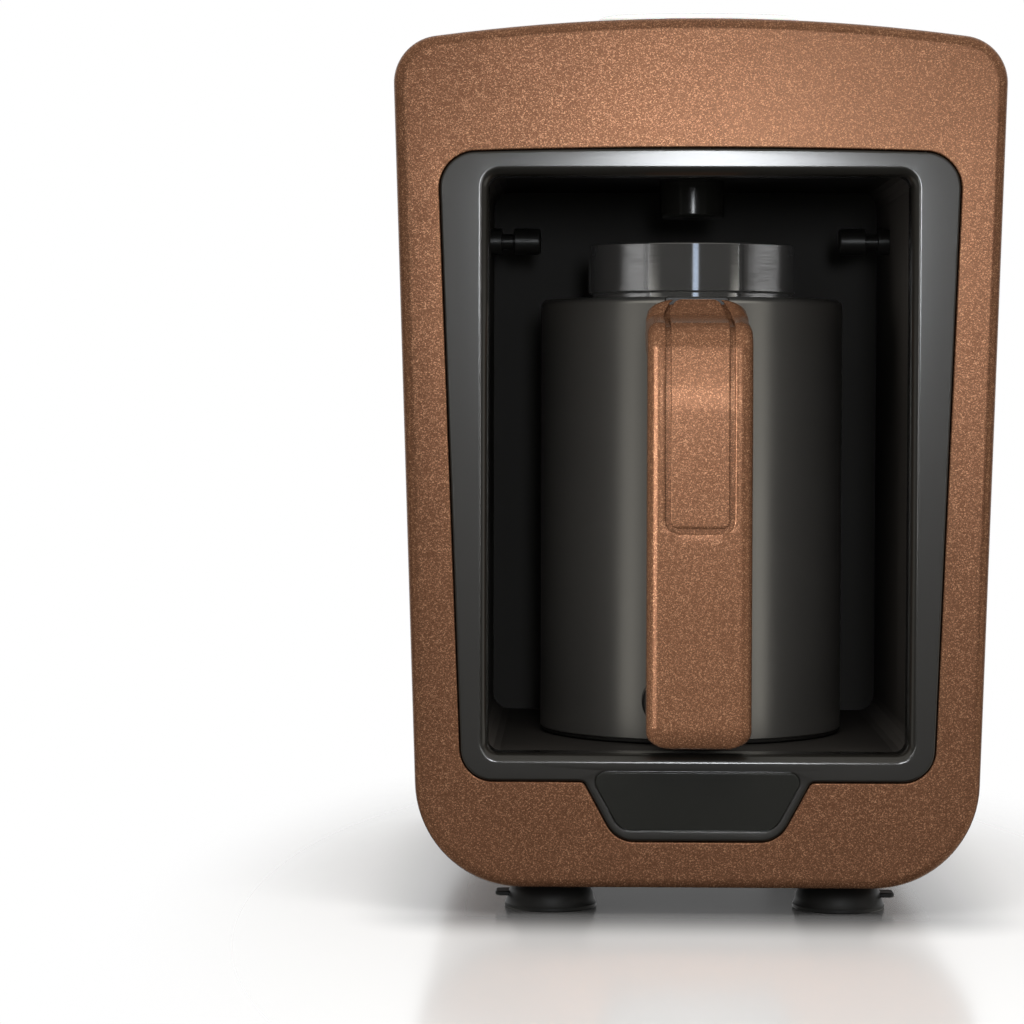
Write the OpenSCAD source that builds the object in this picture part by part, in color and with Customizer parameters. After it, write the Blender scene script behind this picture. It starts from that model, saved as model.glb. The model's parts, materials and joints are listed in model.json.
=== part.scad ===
// Electric Turkish coffee maker: a tapered housing with an open chamber, and a
// lift-out jug that slides in on its own heating base.
// Origin at the middle of the footprint on the table, front towards -Y, +Z up, millimetres.
// "Depth" below always means millimetres behind the plane of the front face.

/* [Housing] */
// Full width of the housing where its side lines meet the top
body_w_top = 168.9; // [160:0.1:176]
// Full width of the housing where its side lines meet the bottom
body_w_bottom = 153.9; // [148:0.1:158]
// Height of the housing from its underside to the middle of the crown
body_h = 238.9; // [236:0.1:246]
// Depth of the housing from the front face to the rear face
body_depth = 196; // [190:1:215]
// Radius of the crown along the top
crown_r = 550; // [450:10:900]
// Radius of the two top corners
top_corner_r = 13; // [10:0.5:16]
// Radius of the two bottom corners
bottom_corner_r = 29.5; // [24:0.5:30]
// How far the soft front edge reaches inwards
edge_in = 3.5; // [3:0.5:9]
// How far the soft front edge reaches backwards
edge_back = 3.5; // [3:0.5:8]
// Wall of the brown shell
shell_wall = 2.6; // [2:0.1:3]
// Wall of the rear cover
rear_wall = 2.6; // [2:0.1:3]
// Depth taken by the rear cover
rear_cover_d = 12; // [10:1:16]
// Radius of the rear cover's rolled edge
rear_roll = 7; // [5:0.5:8]

/* [Bezel and badge] */
// Width of the housing's face on each side of the bezel's top
cheek_top = 13; // [12:0.1:14]
// Width of the housing's face on each side of the bezel's bottom
cheek_low = 12.15; // [11.5:0.05:13]
// Height of the housing's face above the bezel
brow_h = 35.7; // [34:0.1:38]
// Height of the housing's face below the bezel
chin_h = 29.8; // [28:0.1:31]
// Width of the bezel's frame beside the lower end of the mouth
bezel_side = 7.2; // [6.5:0.1:8]
// Height of the bezel's frame below the mouth
bezel_low = 7.6; // [7:0.1:8.5]
// Height of the bezel's frame above the mouth
bezel_high = 7.5; // [7:0.1:9]
// Radius of the bezel's upper corners
bezel_r_top = 10; // [8:0.5:12]
// Radius of the bezel's lower corners
bezel_r_bottom = 9; // [7:0.5:11]
// Depth of the bezel's collar behind the front face
bezel_d = 8; // [7:0.5:10]
// How far the bezel stands proud of the front face
bezel_proud = 0.3; // [0.1:0.1:1]
// Radius of the rounded lip around the chamber mouth
lip_r = 2.8; // [1.5:0.1:3]
// Radius of the chamber mouth's corners
mouth_corner_r = 3; // [1.5:0.5:6]
// Width of the badge tab where it leaves the bezel
tab_w = 62.2; // [58:0.2:68]
// Width of the badge tab at its lower edge
tab_w_low = 44.4; // [42:0.2:48]
// Height of the badge tab below the bezel's lower edge
tab_h = 16.5; // [14:0.5:18]
// Thickness of the badge plate
badge_t = 1.6; // [1.2:0.1:2]
// Rim of the tab left around the badge plate
badge_rim = 3; // [2.5:0.1:4]

/* [Chamber] */
// How far the chamber is wider than its mouth on each side
chamber_side = 1.9; // [1.5:0.1:2.5]
// How far the chamber's ceiling lies above the mouth
chamber_high = 2.7; // [2:0.1:4]
// Depth of the space for the electronics behind the chamber
rear_space = 72; // [68:1:80]
// Wall of the chamber liner
liner_wall = 2; // [1.5:0.1:2.5]
// Diameter of the overflow sensor housing under the ceiling
sensor_dia = 19; // [16:0.5:22]
// Drop of the overflow sensor housing below the ceiling
sensor_drop = 11; // [9:0.5:12]
// Diameter of the round heads on the chamber's side hooks
hook_dia = 7.8; // [6:0.1:9]
// Reach of the side hooks in from the chamber's side walls
hook_reach = 15; // [12:0.5:16]
// Depth of the side hooks behind the front face
hook_depth = 85; // [70:1:95]

/* [Start button] */
// Width of the light ring's opal plate
ring_w = 56; // [52:1:60]
// Length of the light ring's opal plate from front to rear
ring_l = 62; // [56:1:64]
// Diameter of the start button's cap
button_dia = 39.4; // [34:0.2:42]
// Depth of the button's centre behind the front face
button_depth = 43; // [40:1:48]
// Height of the light ring above the crown
ring_proud = 1.5; // [1:0.1:2.5]
// Travel of the start button
button_travel = 1.5; // [1:0.1:2]
// Diameter of the button's stem
stem_dia = 8; // [6:0.5:9]

/* [Feet] */
// Height of the feet
foot_h = 7.8; // [7:0.1:10]
// Diameter of the suction cups
foot_dia = 25.8; // [22:0.2:28]
// Distance of each foot's centre in from the side of the base plate
foot_side = 6.8; // [6:0.1:9]
// Depth of the front feet behind the front face
foot_front = 20; // [20:1:24]
// Distance of the rear feet in from the rear face
foot_rear = 28; // [26:1:34]

/* [Jug] */
// Outer diameter of the jug's body
jug_dia = 88; // [84:0.5:92]
// Outer diameter of the jug's collar
collar_dia = 60.4; // [56:0.2:64]
// Space between the jug's rim and the overflow sensor
rim_gap = 8; // [6:0.1:12]
// Height of the polished collar
collar_h = 14.2; // [12:0.1:15]
// Wall of the jug's steel
jug_wall = 1; // [0.8:0.1:1.4]
// Height of the heating base under the pot's floor
jug_base_h = 24; // [22:0.5:30]
// Space between the jug and the chamber's back wall
jug_back = 15; // [14:0.5:19]

/* [Handle] */
// Width of the handle
handle_w = 28.6; // [26:0.2:32]
// How far the handle stands out from the jug's wall
handle_reach = 34; // [31:0.5:36]
// Drop of the handle's top below the jug's shoulder
handle_drop = 0.8; // [0.5:0.1:3]
// Thickness of the brown handle shell
handle_skin = 4.5; // [3:0.1:5]
// How far the brown shell wraps back along the handle's sides
handle_wrap = 10; // [8:0.5:12]
// Whole thickness of the grip
grip_t = 14; // [12:0.5:15]
// Width of the thumb panel
thumb_w = 16; // [14:0.5:20]
// Height of the thumb panel's lower end above the handle's lower end
thumb_z = 60.4; // [50:0.1:80]

/* [Cable gland] */
// Bore of the cable gland in the rear cover
gland_bore = 7.2; // [6:0.1:8]
// Collar of the gland outside the rear cover
gland_proud = 2.5; // [2:0.1:4]

/* [Hidden] */
$fn = 96;

gap = 0.3;            // clearance between pieces of different bodies
fit = 0.15;           // clearance between pieces that are set into each other
slip = 0.08;          // radial running clearance of the button's stem

// The housing's face, bezel, mouth and chamber, from the outside in
body_z = foot_h;
body_top = body_z + body_h;
bezel_z = body_z + chin_h;
bezel_h = body_h - chin_h - brow_h;
bezel_w_top = body_w_top - 2 * cheek_top;
bezel_w_bottom = body_w_bottom - 2 * cheek_low;
mouth_z = bezel_z + bezel_low;
mouth_h = bezel_h - bezel_low - bezel_high;
mouth_w = bezel_w_bottom - 2 * bezel_side;
chamber_w = mouth_w + 2 * chamber_side;
chamber_d = body_depth - rear_space;

// The chamber's floor is level with the lip, so the jug slides straight out
floor_z = mouth_z;
ceiling_z = mouth_z + mouth_h + chamber_high;
sensor_z = ceiling_z - sensor_drop;

// The jug fills the chamber's height up to the sensor, and its rear clears the back wall
neck_h = 1.7;
jug_r = jug_dia / 2;
collar_r = collar_dia / 2;
jug_depth = chamber_d - jug_back - jug_r;
jug_foot_z = floor_z + gap;
jug_foot_h = 1.1;
jug_z = jug_foot_z + jug_foot_h;
pot_z = jug_z + jug_base_h;
rim_z = sensor_z - rim_gap;
collar_z = rim_z - collar_h;
shoulder_z = collar_z - neck_h;
base_wall_drop = 9;
base_wall_z = pot_z - base_wall_drop;
wall_d = jug_depth - jug_r;
handle_proud = handle_reach - wall_d;

front_y = handle_proud - (handle_proud + body_depth + gland_proud) / 2;
jug_y = front_y + jug_depth;

// ---------- outlines, as [x, z] points counter-clockwise seen from the front ----------

function arc(c, r, a0, a1, n) =
    [for (i = [0:n]) let (a = a0 + (a1 - a0) * i / n) [c[0] + r * cos(a), c[1] + r * sin(a)]];

// Tapered outline with a crowned top. hb and ht are the half widths where the side
// lines meet the bottom z0 and the top z1, and e is how far the outline is set in.
function crowned(z0, z1, hb, ht, rb, rt, crown, e, n) =
    let (t = (ht - hb) / (z1 - z0), a = atan(t), zk = z1 - crown, q = crown - rt,
        s0 = hb - z0 * t - rt / cos(a),
        qa = 1 + t * t, qb = 2 * (s0 * t - zk), qc = s0 * s0 + zk * zk - q * q,
        zc = (-qb + sqrt(qb * qb - 4 * qa * qc)) / (2 * qa), xc = s0 + zc * t,
        xb = hb + rb * t - rb / cos(a), zb = z0 + rb, phi = atan2(zc - zk, xc))
    concat(
        arc([xb, zb], rb - e, -90, -a, n),
        arc([xc, zc], rt - e, -a, phi, n),
        [for (i = [1:n - 1]) let (b = phi + (180 - 2 * phi) * i / n)
            [(crown - e) * cos(b), zk + (crown - e) * sin(b)]],
        arc([-xc, zc], rt - e, 180 - phi, 180 + a, n),
        arc([-xb, zb], rb - e, 180 + a, 270, n));

// Polygon with each corner rounded to its own radius
function unit(v) = v / norm(v);
function rounded(pts, radii, n) =
    let (m = len(pts))
    [for (i = [0:m - 1])
        let (p = pts[i], u = unit(pts[(i + m - 1) % m] - p), v = unit(pts[(i + 1) % m] - p),
            r = radii[i], half = acos(max(-1, min(1, u * v))) / 2,
            c = p + unit(u + v) * r / sin(half), s = p + u * r / tan(half) - c,
            turn = (v[0] * u[1] - v[1] * u[0] > 0 ? 1 : -1) * (180 - 2 * half),
            a0 = atan2(s[1], s[0]))
        each r <= 0 ? [p] : [for (k = [0:n]) c + r * [cos(a0 + turn * k / n), sin(a0 + turn * k / n)]]];

function box_pts(x0, z0, x1, z1) = [[x0, z0], [x1, z0], [x1, z1], [x0, z1]];

body_n = 8;
function body_outline(e) = crowned(body_z, body_top, body_w_bottom / 2, body_w_top / 2,
    bottom_corner_r, top_corner_r, crown_r, e, body_n);

bezel_crown = 2000;
function bezel_outline(e) = crowned(bezel_z, bezel_z + bezel_h, bezel_w_bottom / 2, bezel_w_top / 2,
    bezel_r_bottom, bezel_r_top, bezel_crown, e, 6);

// Negative insets widen the mouth towards the front, around its rounded lip
function mouth_outline(e) = rounded(box_pts(-mouth_w / 2 + e, mouth_z + e, mouth_w / 2 - e,
    mouth_z + mouth_h - e), [for (i = [0:3]) mouth_corner_r - e], 5);

// The badge tab hangs from the bezel's lower edge, and grows by g on all sides
tab_r = 8.3;
tab_root = 4;
tab_d = 5;
tab_slope = (tab_w - tab_w_low) / 2 / tab_h;
function tab_outline(g) =
    let (side = g * sqrt(1 + tab_slope * tab_slope), low = bezel_z - tab_h - g, high = bezel_z + tab_root,
        wl = tab_w_low / 2 + side - g * tab_slope, wh = tab_w / 2 + side + tab_root * tab_slope)
    rounded([[-wl, low], [wl, low], [wh, high], [-wh, high]], [tab_r + g, tab_r + g, 0, 0], 6);

// The badge plate is an upturned trapezoid whose sides run along the tab's, and grows by g
badge_z = bezel_z - tab_h + badge_rim;
badge_top = bezel_z + 2.6;
badge_side = 2.65;
badge_low_w = tab_w_low / 2 + badge_rim * tab_slope - badge_side;
badge_high_w = badge_low_w + (badge_top - badge_z) * tab_slope;
badge_low_r = 5.2;
badge_high_r = 2.8;
badge_proud = 0.4;
function badge_outline(g) =
    let (side = g * sqrt(1 + tab_slope * tab_slope), wl = badge_low_w + side - g * tab_slope,
        wh = badge_high_w + side + g * tab_slope, low = badge_z - g, high = badge_top + g,
        rl = badge_low_r + g, rh = badge_high_r + g)
    rounded([[-wl, low], [wl, low], [wh, high], [-wh, high]], [rl, rl, rh, rh], 5);

// ---------- ways of making a solid ----------

// Extrudes an [x, z] outline between two depths behind the front face
module slab(d0, d1, pts) {
    translate([0, front_y + d1, 0]) rotate([90, 0, 0]) linear_extrude(d1 - d0) polygon(pts);
}

// Extrudes a [depth, z] outline between two places along X
module side_slab(x0, x1, pts) {
    translate([x0, front_y, 0]) rotate([90, 0, 90]) linear_extrude(x1 - x0) polygon(pts);
}

// Closed skin through [depth, outline] stations, from front to back
module loft(stations) {
    n = len(stations[0][1]);
    m = len(stations);
    points = [for (s = stations) for (p = s[1]) [p[0], front_y + s[0], p[1]]];
    sides = [for (k = [0:m - 2]) for (i = [0:n - 1]) let (j = (i + 1) % n)
        [k * n + i, k * n + j, (k + 1) * n + j, (k + 1) * n + i]];
    polyhedron(points, concat([[for (i = [n - 1:-1:0]) i]], sides, [[for (i = [0:n - 1]) (m - 1) * n + i]]),
        convexity = 6);
}

// Cylinders along Y, from depth d0 to depth d1
module rod(x, z, r, d0, d1, fn = 48) {
    translate([x, front_y + d1, z]) rotate([90, 0, 0]) cylinder(r = r, h = d1 - d0, $fn = fn);
}

// Upright cylinders at a depth behind the front face
module post(x, d, r, z0, z1, fn = 48) {
    translate([x, front_y + d, z0]) cylinder(r = r, h = z1 - z0, $fn = fn);
}

// Boxes between two x values, two depths and two heights
module block(x0, x1, d0, d1, z0, z1) {
    translate([x0, front_y + d0, z0]) cube([x1 - x0, d1 - d0, z1 - z0]);
}

// ---------- housing ----------

shell_d1 = body_depth - rear_cover_d;
edge_steps = 6;
function edge_stations(wall) = [for (k = [0:edge_steps]) let (a = 90 * k / edge_steps)
    [edge_back - (edge_back - wall) * cos(a),
     body_outline(edge_in - (edge_in - wall) * sin(a))]];

cover_boss_r = 4;
cover_screw_r = 1.5;
cover_rows = [body_z + 36.2, body_top - 26.7];
cover_in = 13;
function side_x(z) = body_w_bottom / 2 + (z - body_z) * (body_w_top - body_w_bottom) / 2 / body_h;
function cover_x(z) = side_x(z) - cover_in;
cover_boss_l = 26;
cover_hole_l = 16;
cover_rib = 3;

base_x = body_w_bottom / 2 - bottom_corner_r - 0.25;
base_d0 = foot_front - 7.2;
base_d1 = shell_d1 - 6.5;
base_flange = 3.2;
base_t = 2.6;
base_pad_front = 16.6;
base_pad_rear = 22.6;

module outer_shell() {
    color([0.58, 0.37, 0.25]) difference() {
        union() {
            difference() {
                loft(concat(edge_stations(0), [[shell_d1, body_outline(0)]]));
                loft(concat(edge_stations(shell_wall), [[shell_d1 + 1, body_outline(shell_wall)]]));
            }
            for (z = cover_rows, s = [-1, 1]) {
                rod(s * cover_x(z), z, cover_boss_r, shell_d1 - cover_boss_l, shell_d1);
                mirror([s < 0 ? 1 : 0, 0, 0])
                    block(cover_x(z), side_x(z) - shell_wall / 2, shell_d1 - cover_boss_l, shell_d1,
                        z - cover_rib / 2, z + cover_rib / 2);
            }
        }
        slab(-1, edge_back + 1, bezel_outline(-gap));
        slab(-1, edge_back + 1, tab_outline(gap));
        ring_slab(gap, ring_z - 1, body_top + 1);
        block(-base_x - gap, base_x + gap, base_d0 - gap, base_d1 + gap, body_z - 1, body_z + shell_wall + 1);
        for (z = cover_rows, s = [-1, 1])
            rod(s * cover_x(z), z, cover_screw_r + fit, shell_d1 - cover_hole_l, shell_d1 + 1);
    }
}

vent_n = 7;
vent_pitch = 8;
vent_w = 3.4;
vent_l = 70;
vent_z = body_top - 50.7;
gland_x = base_x - 3.2;
gland_z = body_z + 32.2;
gland_r = 8;
gland_body_r = 6;
clamp_d = body_depth - rear_wall - 7;
clamp_span = 26;
clamp_screw_r = 1.2;
clamp_post_r = 3;
cover_head_r = 3;
cover_head_in = 3.4;

function rear_stations(wall) = [for (k = [0:5]) let (a = 90 * k / 5)
    [body_depth - rear_roll + (rear_roll - wall) * sin(a),
     body_outline(rear_roll - (rear_roll - wall) * cos(a))]];

module rear_cover() {
    color([0.07, 0.07, 0.07]) difference() {
        union() {
            difference() {
                loft(concat([[shell_d1 + fit, body_outline(0)]], rear_stations(0)));
                loft(concat([[shell_d1 - 1, body_outline(rear_wall)]], rear_stations(rear_wall)));
            }
            for (z = cover_rows, s = [-1, 1])
                rod(s * cover_x(z), z, cover_boss_r, shell_d1 + fit, body_depth - 1);
            for (s = [-1, 1])
                rod(gland_x + s * clamp_span / 2, gland_z, clamp_post_r, clamp_d, body_depth - 1);
        }
        for (z = cover_rows, s = [-1, 1]) {
            rod(s * cover_x(z), z, cover_screw_r + fit, shell_d1 - 1, body_depth + 1);
            rod(s * cover_x(z), z, cover_head_r + gap, body_depth - cover_head_in, body_depth + 1);
        }
        for (s = [-1, 1])
            rod(gland_x + s * clamp_span / 2, gland_z, clamp_screw_r + fit, clamp_d - 1, body_depth - 2.4);
        rod(gland_x, gland_z, gland_body_r + fit, body_depth - rear_wall - 1, body_depth + 1);
        for (i = [0:vent_n - 1])
            block(-vent_l / 2, vent_l / 2, body_depth - rear_wall - 1, body_depth + 1,
                vent_z - i * vent_pitch, vent_z - i * vent_pitch + vent_w);
    }
}

foot_bolt_r = 1.9;
liner_posts_d = [jug_depth - 19, chamber_d - 16];
liner_post_x = base_x - 11.2;
liner_post_r = 4.5;
base_screw_r = 1.5;
base_head_r = 3;
base_head_t = 1.2;
base_head_in = 1.6;
base_screw_l = 18;
base_top = body_z + shell_wall + gap + base_t;
foot_xs = [foot_side - base_x, base_x - foot_side];
foot_ds = [foot_front, body_depth - foot_rear];

module base_plate() {
    color([0.06, 0.06, 0.06]) difference() {
        union() {
            block(-base_x, base_x, base_d0, base_d1, body_z, base_top);
            block(-base_x - base_flange, base_x + base_flange, base_d0 - base_flange, base_d1 + base_flange,
                base_top - base_t, base_top);
        }
        block(-base_x + base_t, base_x - base_t, base_d0 + base_pad_front, base_d1 - base_pad_rear,
            body_z + base_t, base_top + 1);
        for (x = foot_xs, d = foot_ds) post(x, d, foot_bolt_r + fit, body_z - 1, base_top + 1);
        for (x = [-liner_post_x, liner_post_x], d = liner_posts_d) {
            post(x, d, base_screw_r + fit, body_z - 1, base_top + 1);
            post(x, d, base_head_r + gap, body_z - 1, body_z + base_head_in);
        }
    }
}

bezel_screw_r = 1.25;
bezel_screw_d = 3;
bezel_screw_x = chamber_w / 2 + liner_wall + 3.8;
bezel_screw_top = bezel_z + bezel_h - 17;
bezel_screw_low = floor_z - liner_wall - 2.6;
bezel_screw_low_x = 48;
bezel_screw_at = [for (s = [-1, 1]) each [[s * bezel_screw_x, bezel_screw_top],
    [s * bezel_screw_low_x, bezel_screw_low]]];
bezel_flange_t = 1.6;
lip_steps = 5;

module front_bezel() {
    color([0.2, 0.19, 0.18]) difference() {
        union() {
            slab(-bezel_proud, bezel_d, bezel_outline(0));
            slab(-bezel_proud, tab_d, tab_outline(0));
        }
        loft(concat([[-bezel_proud - 1, mouth_outline(-lip_r)]],
            [for (k = [0:lip_steps]) let (a = 90 * k / lip_steps)
                [-bezel_proud + lip_r - lip_r * cos(a), mouth_outline(-lip_r + lip_r * sin(a))]],
            [[bezel_d + 1, mouth_outline(0)]]));
        slab(-bezel_proud - 1, -bezel_proud + badge_t - badge_proud, badge_outline(fit));
        for (p = bezel_screw_at) rod(p[0], p[1], bezel_screw_r + fit, bezel_screw_d - 0.6, bezel_d + 1);
    }
}

module badge_plate() {
    color([0.1, 0.1, 0.09])
        slab(-bezel_proud - badge_proud, -bezel_proud + badge_t - badge_proud, badge_outline(0));
}

// ---------- chamber ----------

liner_corner = 5;
liner_d0 = bezel_d;
function liner_outline(e) = rounded(box_pts(-chamber_w / 2 + e, floor_z + e, chamber_w / 2 - e,
    ceiling_z - e), [for (i = [0:3]) liner_corner - e], 4);
dock_w = 34;
dock_h = 19;
dock_gap = 2.4;
dock_d = jug_depth + jug_r + dock_gap;
pin_z = base_wall_z - 4.4;
dock_z = pin_z - 8.5;
pin_xs = [-9, 0, 9];
pin_r = 1.5;
board_gap = 24;
board_d = chamber_d + liner_wall + board_gap;
board_t = 1.6;
board_x = 45;
board_h = 100;
board_low = 4.8;
board_z0 = floor_z + board_low;
board_z1 = board_z0 + board_h;
board_post_r = 3.5;
board_in_x = 5;
board_in_z = 6;
board_posts = [for (x = [board_in_x - board_x, board_x - board_in_x],
    z = [board_z0 + board_in_z, board_z1 - board_in_z]) [x, z]];
board_screw_r = 1.3;
board_screw_l = 8;
sensor_hole_r = 7;

module chamber_liner() {
    color([0.05, 0.05, 0.05]) difference() {
        union() {
            slab(liner_d0, chamber_d + liner_wall, liner_outline(-liner_wall));
            slab(liner_d0, liner_d0 + bezel_flange_t, bezel_outline(1.5));
            for (x = [-liner_post_x, liner_post_x], d = liner_posts_d)
                post(x, d, liner_post_r, body_z + base_t, floor_z - liner_wall / 2);
            for (p = board_posts) rod(p[0], p[1], board_post_r, chamber_d + liner_wall / 2, board_d);
        }
        slab(liner_d0 - 1, chamber_d, liner_outline(0));
        block(-dock_w / 2 - fit, dock_w / 2 + fit, chamber_d - 1, chamber_d + liner_wall + 1, dock_z - fit,
            dock_z + dock_h + fit);
        post(0, jug_depth, sensor_hole_r, ceiling_z - 1, ceiling_z + liner_wall + 1);
        for (x = [-liner_post_x, liner_post_x], d = liner_posts_d)
            post(x, d, base_screw_r + fit, body_z, body_z + base_screw_l + 4);
        for (p = bezel_screw_at)
            rod(p[0], p[1], bezel_screw_r + fit, liner_d0 - 1, liner_d0 + bezel_flange_t + 1);
        for (p = board_posts) rod(p[0], p[1], board_screw_r + fit, board_d - board_screw_l - 2, board_d + 1);
    }
}

// Two small round-headed hooks on the side walls, above the jug's shoulder
hook_z = ceiling_z - 16.8;
hook_neck = 3.4;
hook_head = 8;
hook_foot = 3.5;
module chamber_hooks() {
    color([0.06, 0.06, 0.06]) for (s = [-1, 1])
        translate([s * (chamber_w / 2 - hook_reach), front_y + hook_depth, hook_z])
            rotate([0, s * 90, 0]) union() {
                cylinder(d = hook_dia, h = hook_head, $fn = 48);
                cylinder(d = hook_dia - hook_neck, h = hook_reach, $fn = 48);
                translate([0, 0, hook_reach - hook_foot]) cylinder(d = hook_dia, h = hook_foot, $fn = 48);
            }
}

// ---------- overflow sensor ----------

lens_r = 4;
lens_t = 1.4;
lens_seat = 1;
lens_lip = 0.8;
sensor_chamfer = 1.2;
sensor_board_z = ceiling_z + liner_wall;
sensor_board_x = 10;
module sensor_housing() {
    lens_top = sensor_z + lens_seat + lens_t;
    color([0.07, 0.07, 0.07]) translate([0, jug_y, 0]) rotate_extrude($fn = 72)
        polygon([[lens_r - lens_lip, sensor_z], [sensor_dia / 2 - sensor_chamfer, sensor_z],
            [sensor_dia / 2, sensor_z + sensor_chamfer], [sensor_dia / 2, ceiling_z],
            [sensor_hole_r - fit, ceiling_z], [sensor_hole_r - fit, sensor_board_z],
            [lens_r + lens_seat, sensor_board_z], [lens_r + lens_seat, lens_top], [lens_r + fit, lens_top],
            [lens_r + fit, sensor_z + lens_seat], [lens_r - lens_lip, sensor_z + lens_seat]]);
}

module sensor_lens() {
    color([0.5, 0.1, 0.1, 0.6]) translate([0, jug_y, sensor_z + lens_seat])
        cylinder(r = lens_r, h = lens_t, $fn = 48);
}

module sensor_board() {
    color([0.1, 0.35, 0.2])
        block(-sensor_board_x, sensor_board_x, jug_depth - sensor_board_x, jug_depth + sensor_board_x,
            sensor_board_z, sensor_board_z + board_t);
}

wire_r = 1.2;
module sensor_wires() {
    color([0.7, 0.1, 0.1]) for (x = [-4, 0, 4])
        post(x, jug_depth - 6, wire_r, sensor_board_z + board_t, control_z, 24);
}

// ---------- dock ----------

dock_flange = 3;
dock_flange_t = 2;
dock_back = chamber_d + liner_wall + 8;
module dock_socket() {
    color([0.08, 0.08, 0.08]) difference() {
        union() {
            block(-dock_w / 2, dock_w / 2, dock_d, dock_back, dock_z, dock_z + dock_h);
            block(-dock_w / 2 - dock_flange, dock_w / 2 + dock_flange, chamber_d + liner_wall,
                chamber_d + liner_wall + dock_flange_t, dock_z - dock_flange, dock_z + dock_h + dock_flange);
        }
        for (x = pin_xs) rod(x, pin_z, pin_r + fit / 3, dock_d - 1, dock_back + 1);
    }
}

pin_reach = 7.5;
module dock_pins() {
    color([0.8, 0.65, 0.3]) for (x = pin_xs) union() {
        rod(x, pin_z, pin_r, dock_d - pin_reach + pin_r, dock_back + 2);
        translate([x, front_y + dock_d - pin_reach + pin_r, pin_z]) sphere(r = pin_r, $fn = 32);
    }
}

module dock_wires() {
    color([0.75, 0.7, 0.6]) for (x = pin_xs) rod(x, pin_z, wire_r, dock_back + 2, board_d, 24);
}

// ---------- start button and controls ----------

ring_top = body_top + ring_proud;
ring_z = body_top - shell_wall - 1.1;
ring_corner_r = 8;
button_r = button_dia / 2;
stem_r = stem_dia / 2;
button_top = ring_top + 0.5;
cap_t = 3.4;
cap_z = button_top - cap_t;
spring_room = 7.4;
guide_floor_z = cap_z - spring_room;
guide_floor_t = 2;
guide_l = 5;
guide_low_z = guide_floor_z - guide_l;
stem_z = guide_low_z - 1;
control_drop = 5.5;
board_top = stem_z - control_drop;
control_z = board_top - board_t;
control_front = 23;
control_rear = 27;
control_d0 = button_depth - control_front;
control_d1 = button_depth + control_rear;
guide_rim = 3;
guide_rim_t = 2;
guide_t = 2.4;
guide_post_in = 5;
guide_post_r = 3;
control_x = ring_w / 2 + guide_rim;
guide_post_x = control_x - guide_post_in;

// Upright block with the light ring's rounded square outline, grown by g
module ring_slab(g, z0, z1) {
    w = ring_w / 2 + g;
    l = ring_l / 2 + g;
    translate([0, front_y + button_depth, z0]) linear_extrude(z1 - z0)
        polygon(rounded(box_pts(-w, -l, w, l), [for (i = [0:3]) ring_corner_r + g], 6));
}

// Opal plate round the start button, whose upper face follows the crown
module light_ring() {
    zk = body_top - crown_r;
    phi = asin((ring_w / 2 + 1) / (crown_r + ring_proud));
    front = button_depth - ring_l / 2 - 1;
    face = concat([[-ring_w, ring_z], [ring_w, ring_z]],
        arc([0, zk], crown_r + ring_proud, 90 - 2 * phi, 90 + 2 * phi, 16));
    color([0.93, 0.94, 0.92, 0.8]) difference() {
        intersection() {
            slab(front, front + ring_l + 2, face);
            ring_slab(0, ring_z, ring_top + 1);
        }
        post(0, button_depth, button_r + gap, ring_z - 1, ring_top + 1, 96);
    }
}

module button_guide() {
    color([0.08, 0.08, 0.08]) difference() {
        union() {
            translate([0, front_y + button_depth, 0]) rotate_extrude()
                polygon([[stem_r + slip, guide_low_z], [stem_r + guide_t, guide_low_z],
                    [stem_r + guide_t, guide_floor_z], [button_r + guide_t, guide_floor_z],
                    [button_r + guide_t, ring_z - 1], [button_r + gap, ring_z - 1],
                    [button_r + gap, guide_floor_z + guide_floor_t],
                    [stem_r + slip, guide_floor_z + guide_floor_t]]);
            difference() {
                ring_slab(guide_rim, ring_z - guide_rim_t, ring_z);
                post(0, button_depth, button_r + gap, ring_z - guide_rim_t - 1, ring_z + 1, 96);
            }
            for (s = [-1, 1]) post(s * guide_post_x, button_depth, guide_post_r, board_top, ring_z - 1);
        }
        for (s = [-1, 1])
            post(s * guide_post_x, button_depth, board_screw_r + fit, control_z,
                control_z + board_screw_l + 2);
    }
}

module start_button() {
    color([0.85, 0.85, 0.83]) translate([0, front_y + button_depth, 0]) rotate_extrude()
        polygon([[0, stem_z], [stem_r, stem_z], [stem_r, cap_z], [button_r, cap_z],
            [button_r, button_top - 0.9], [button_r - 0.5, button_top - 0.3],
            [button_r - 1.4, button_top - 0.1], [0, button_top + 0.2]]);
}

// Compression spring around the stem, swept along a helix
spring_r = stem_r + 2.6;
spring_wire = 0.45;
spring_turns = 4;
spring_steps = 14;
spring_z0 = guide_floor_z + guide_floor_t + spring_wire;
spring_z1 = cap_z - spring_wire;
module button_spring() {
    sides = 6;
    rings = spring_turns * spring_steps;
    pts = [for (k = [0:rings]) for (i = [0:sides - 1])
        let (a = 360 * k / spring_steps, b = 360 * i / sides, r = spring_r + spring_wire * cos(b))
        [r * cos(a), r * sin(a), spring_z0 + (spring_z1 - spring_z0) * k / rings + spring_wire * sin(b)]];
    skin = [for (k = [0:rings - 1]) for (i = [0:sides - 1]) let (j = (i + 1) % sides)
        [k * sides + i, k * sides + j, (k + 1) * sides + j, (k + 1) * sides + i]];
    ends = [[for (i = [sides - 1:-1:0]) i], [for (i = [0:sides - 1]) rings * sides + i]];
    color([0.75, 0.75, 0.78]) translate([0, front_y + button_depth, 0])
        polyhedron(pts, concat(skin, ends));
}

module control_board() {
    color([0.1, 0.35, 0.2]) difference() {
        block(-control_x, control_x, control_d0, control_d1, control_z, board_top);
        for (s = [-1, 1])
            post(s * guide_post_x, button_depth, board_screw_r + fit, control_z - 1, board_top + 1);
    }
}

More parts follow.
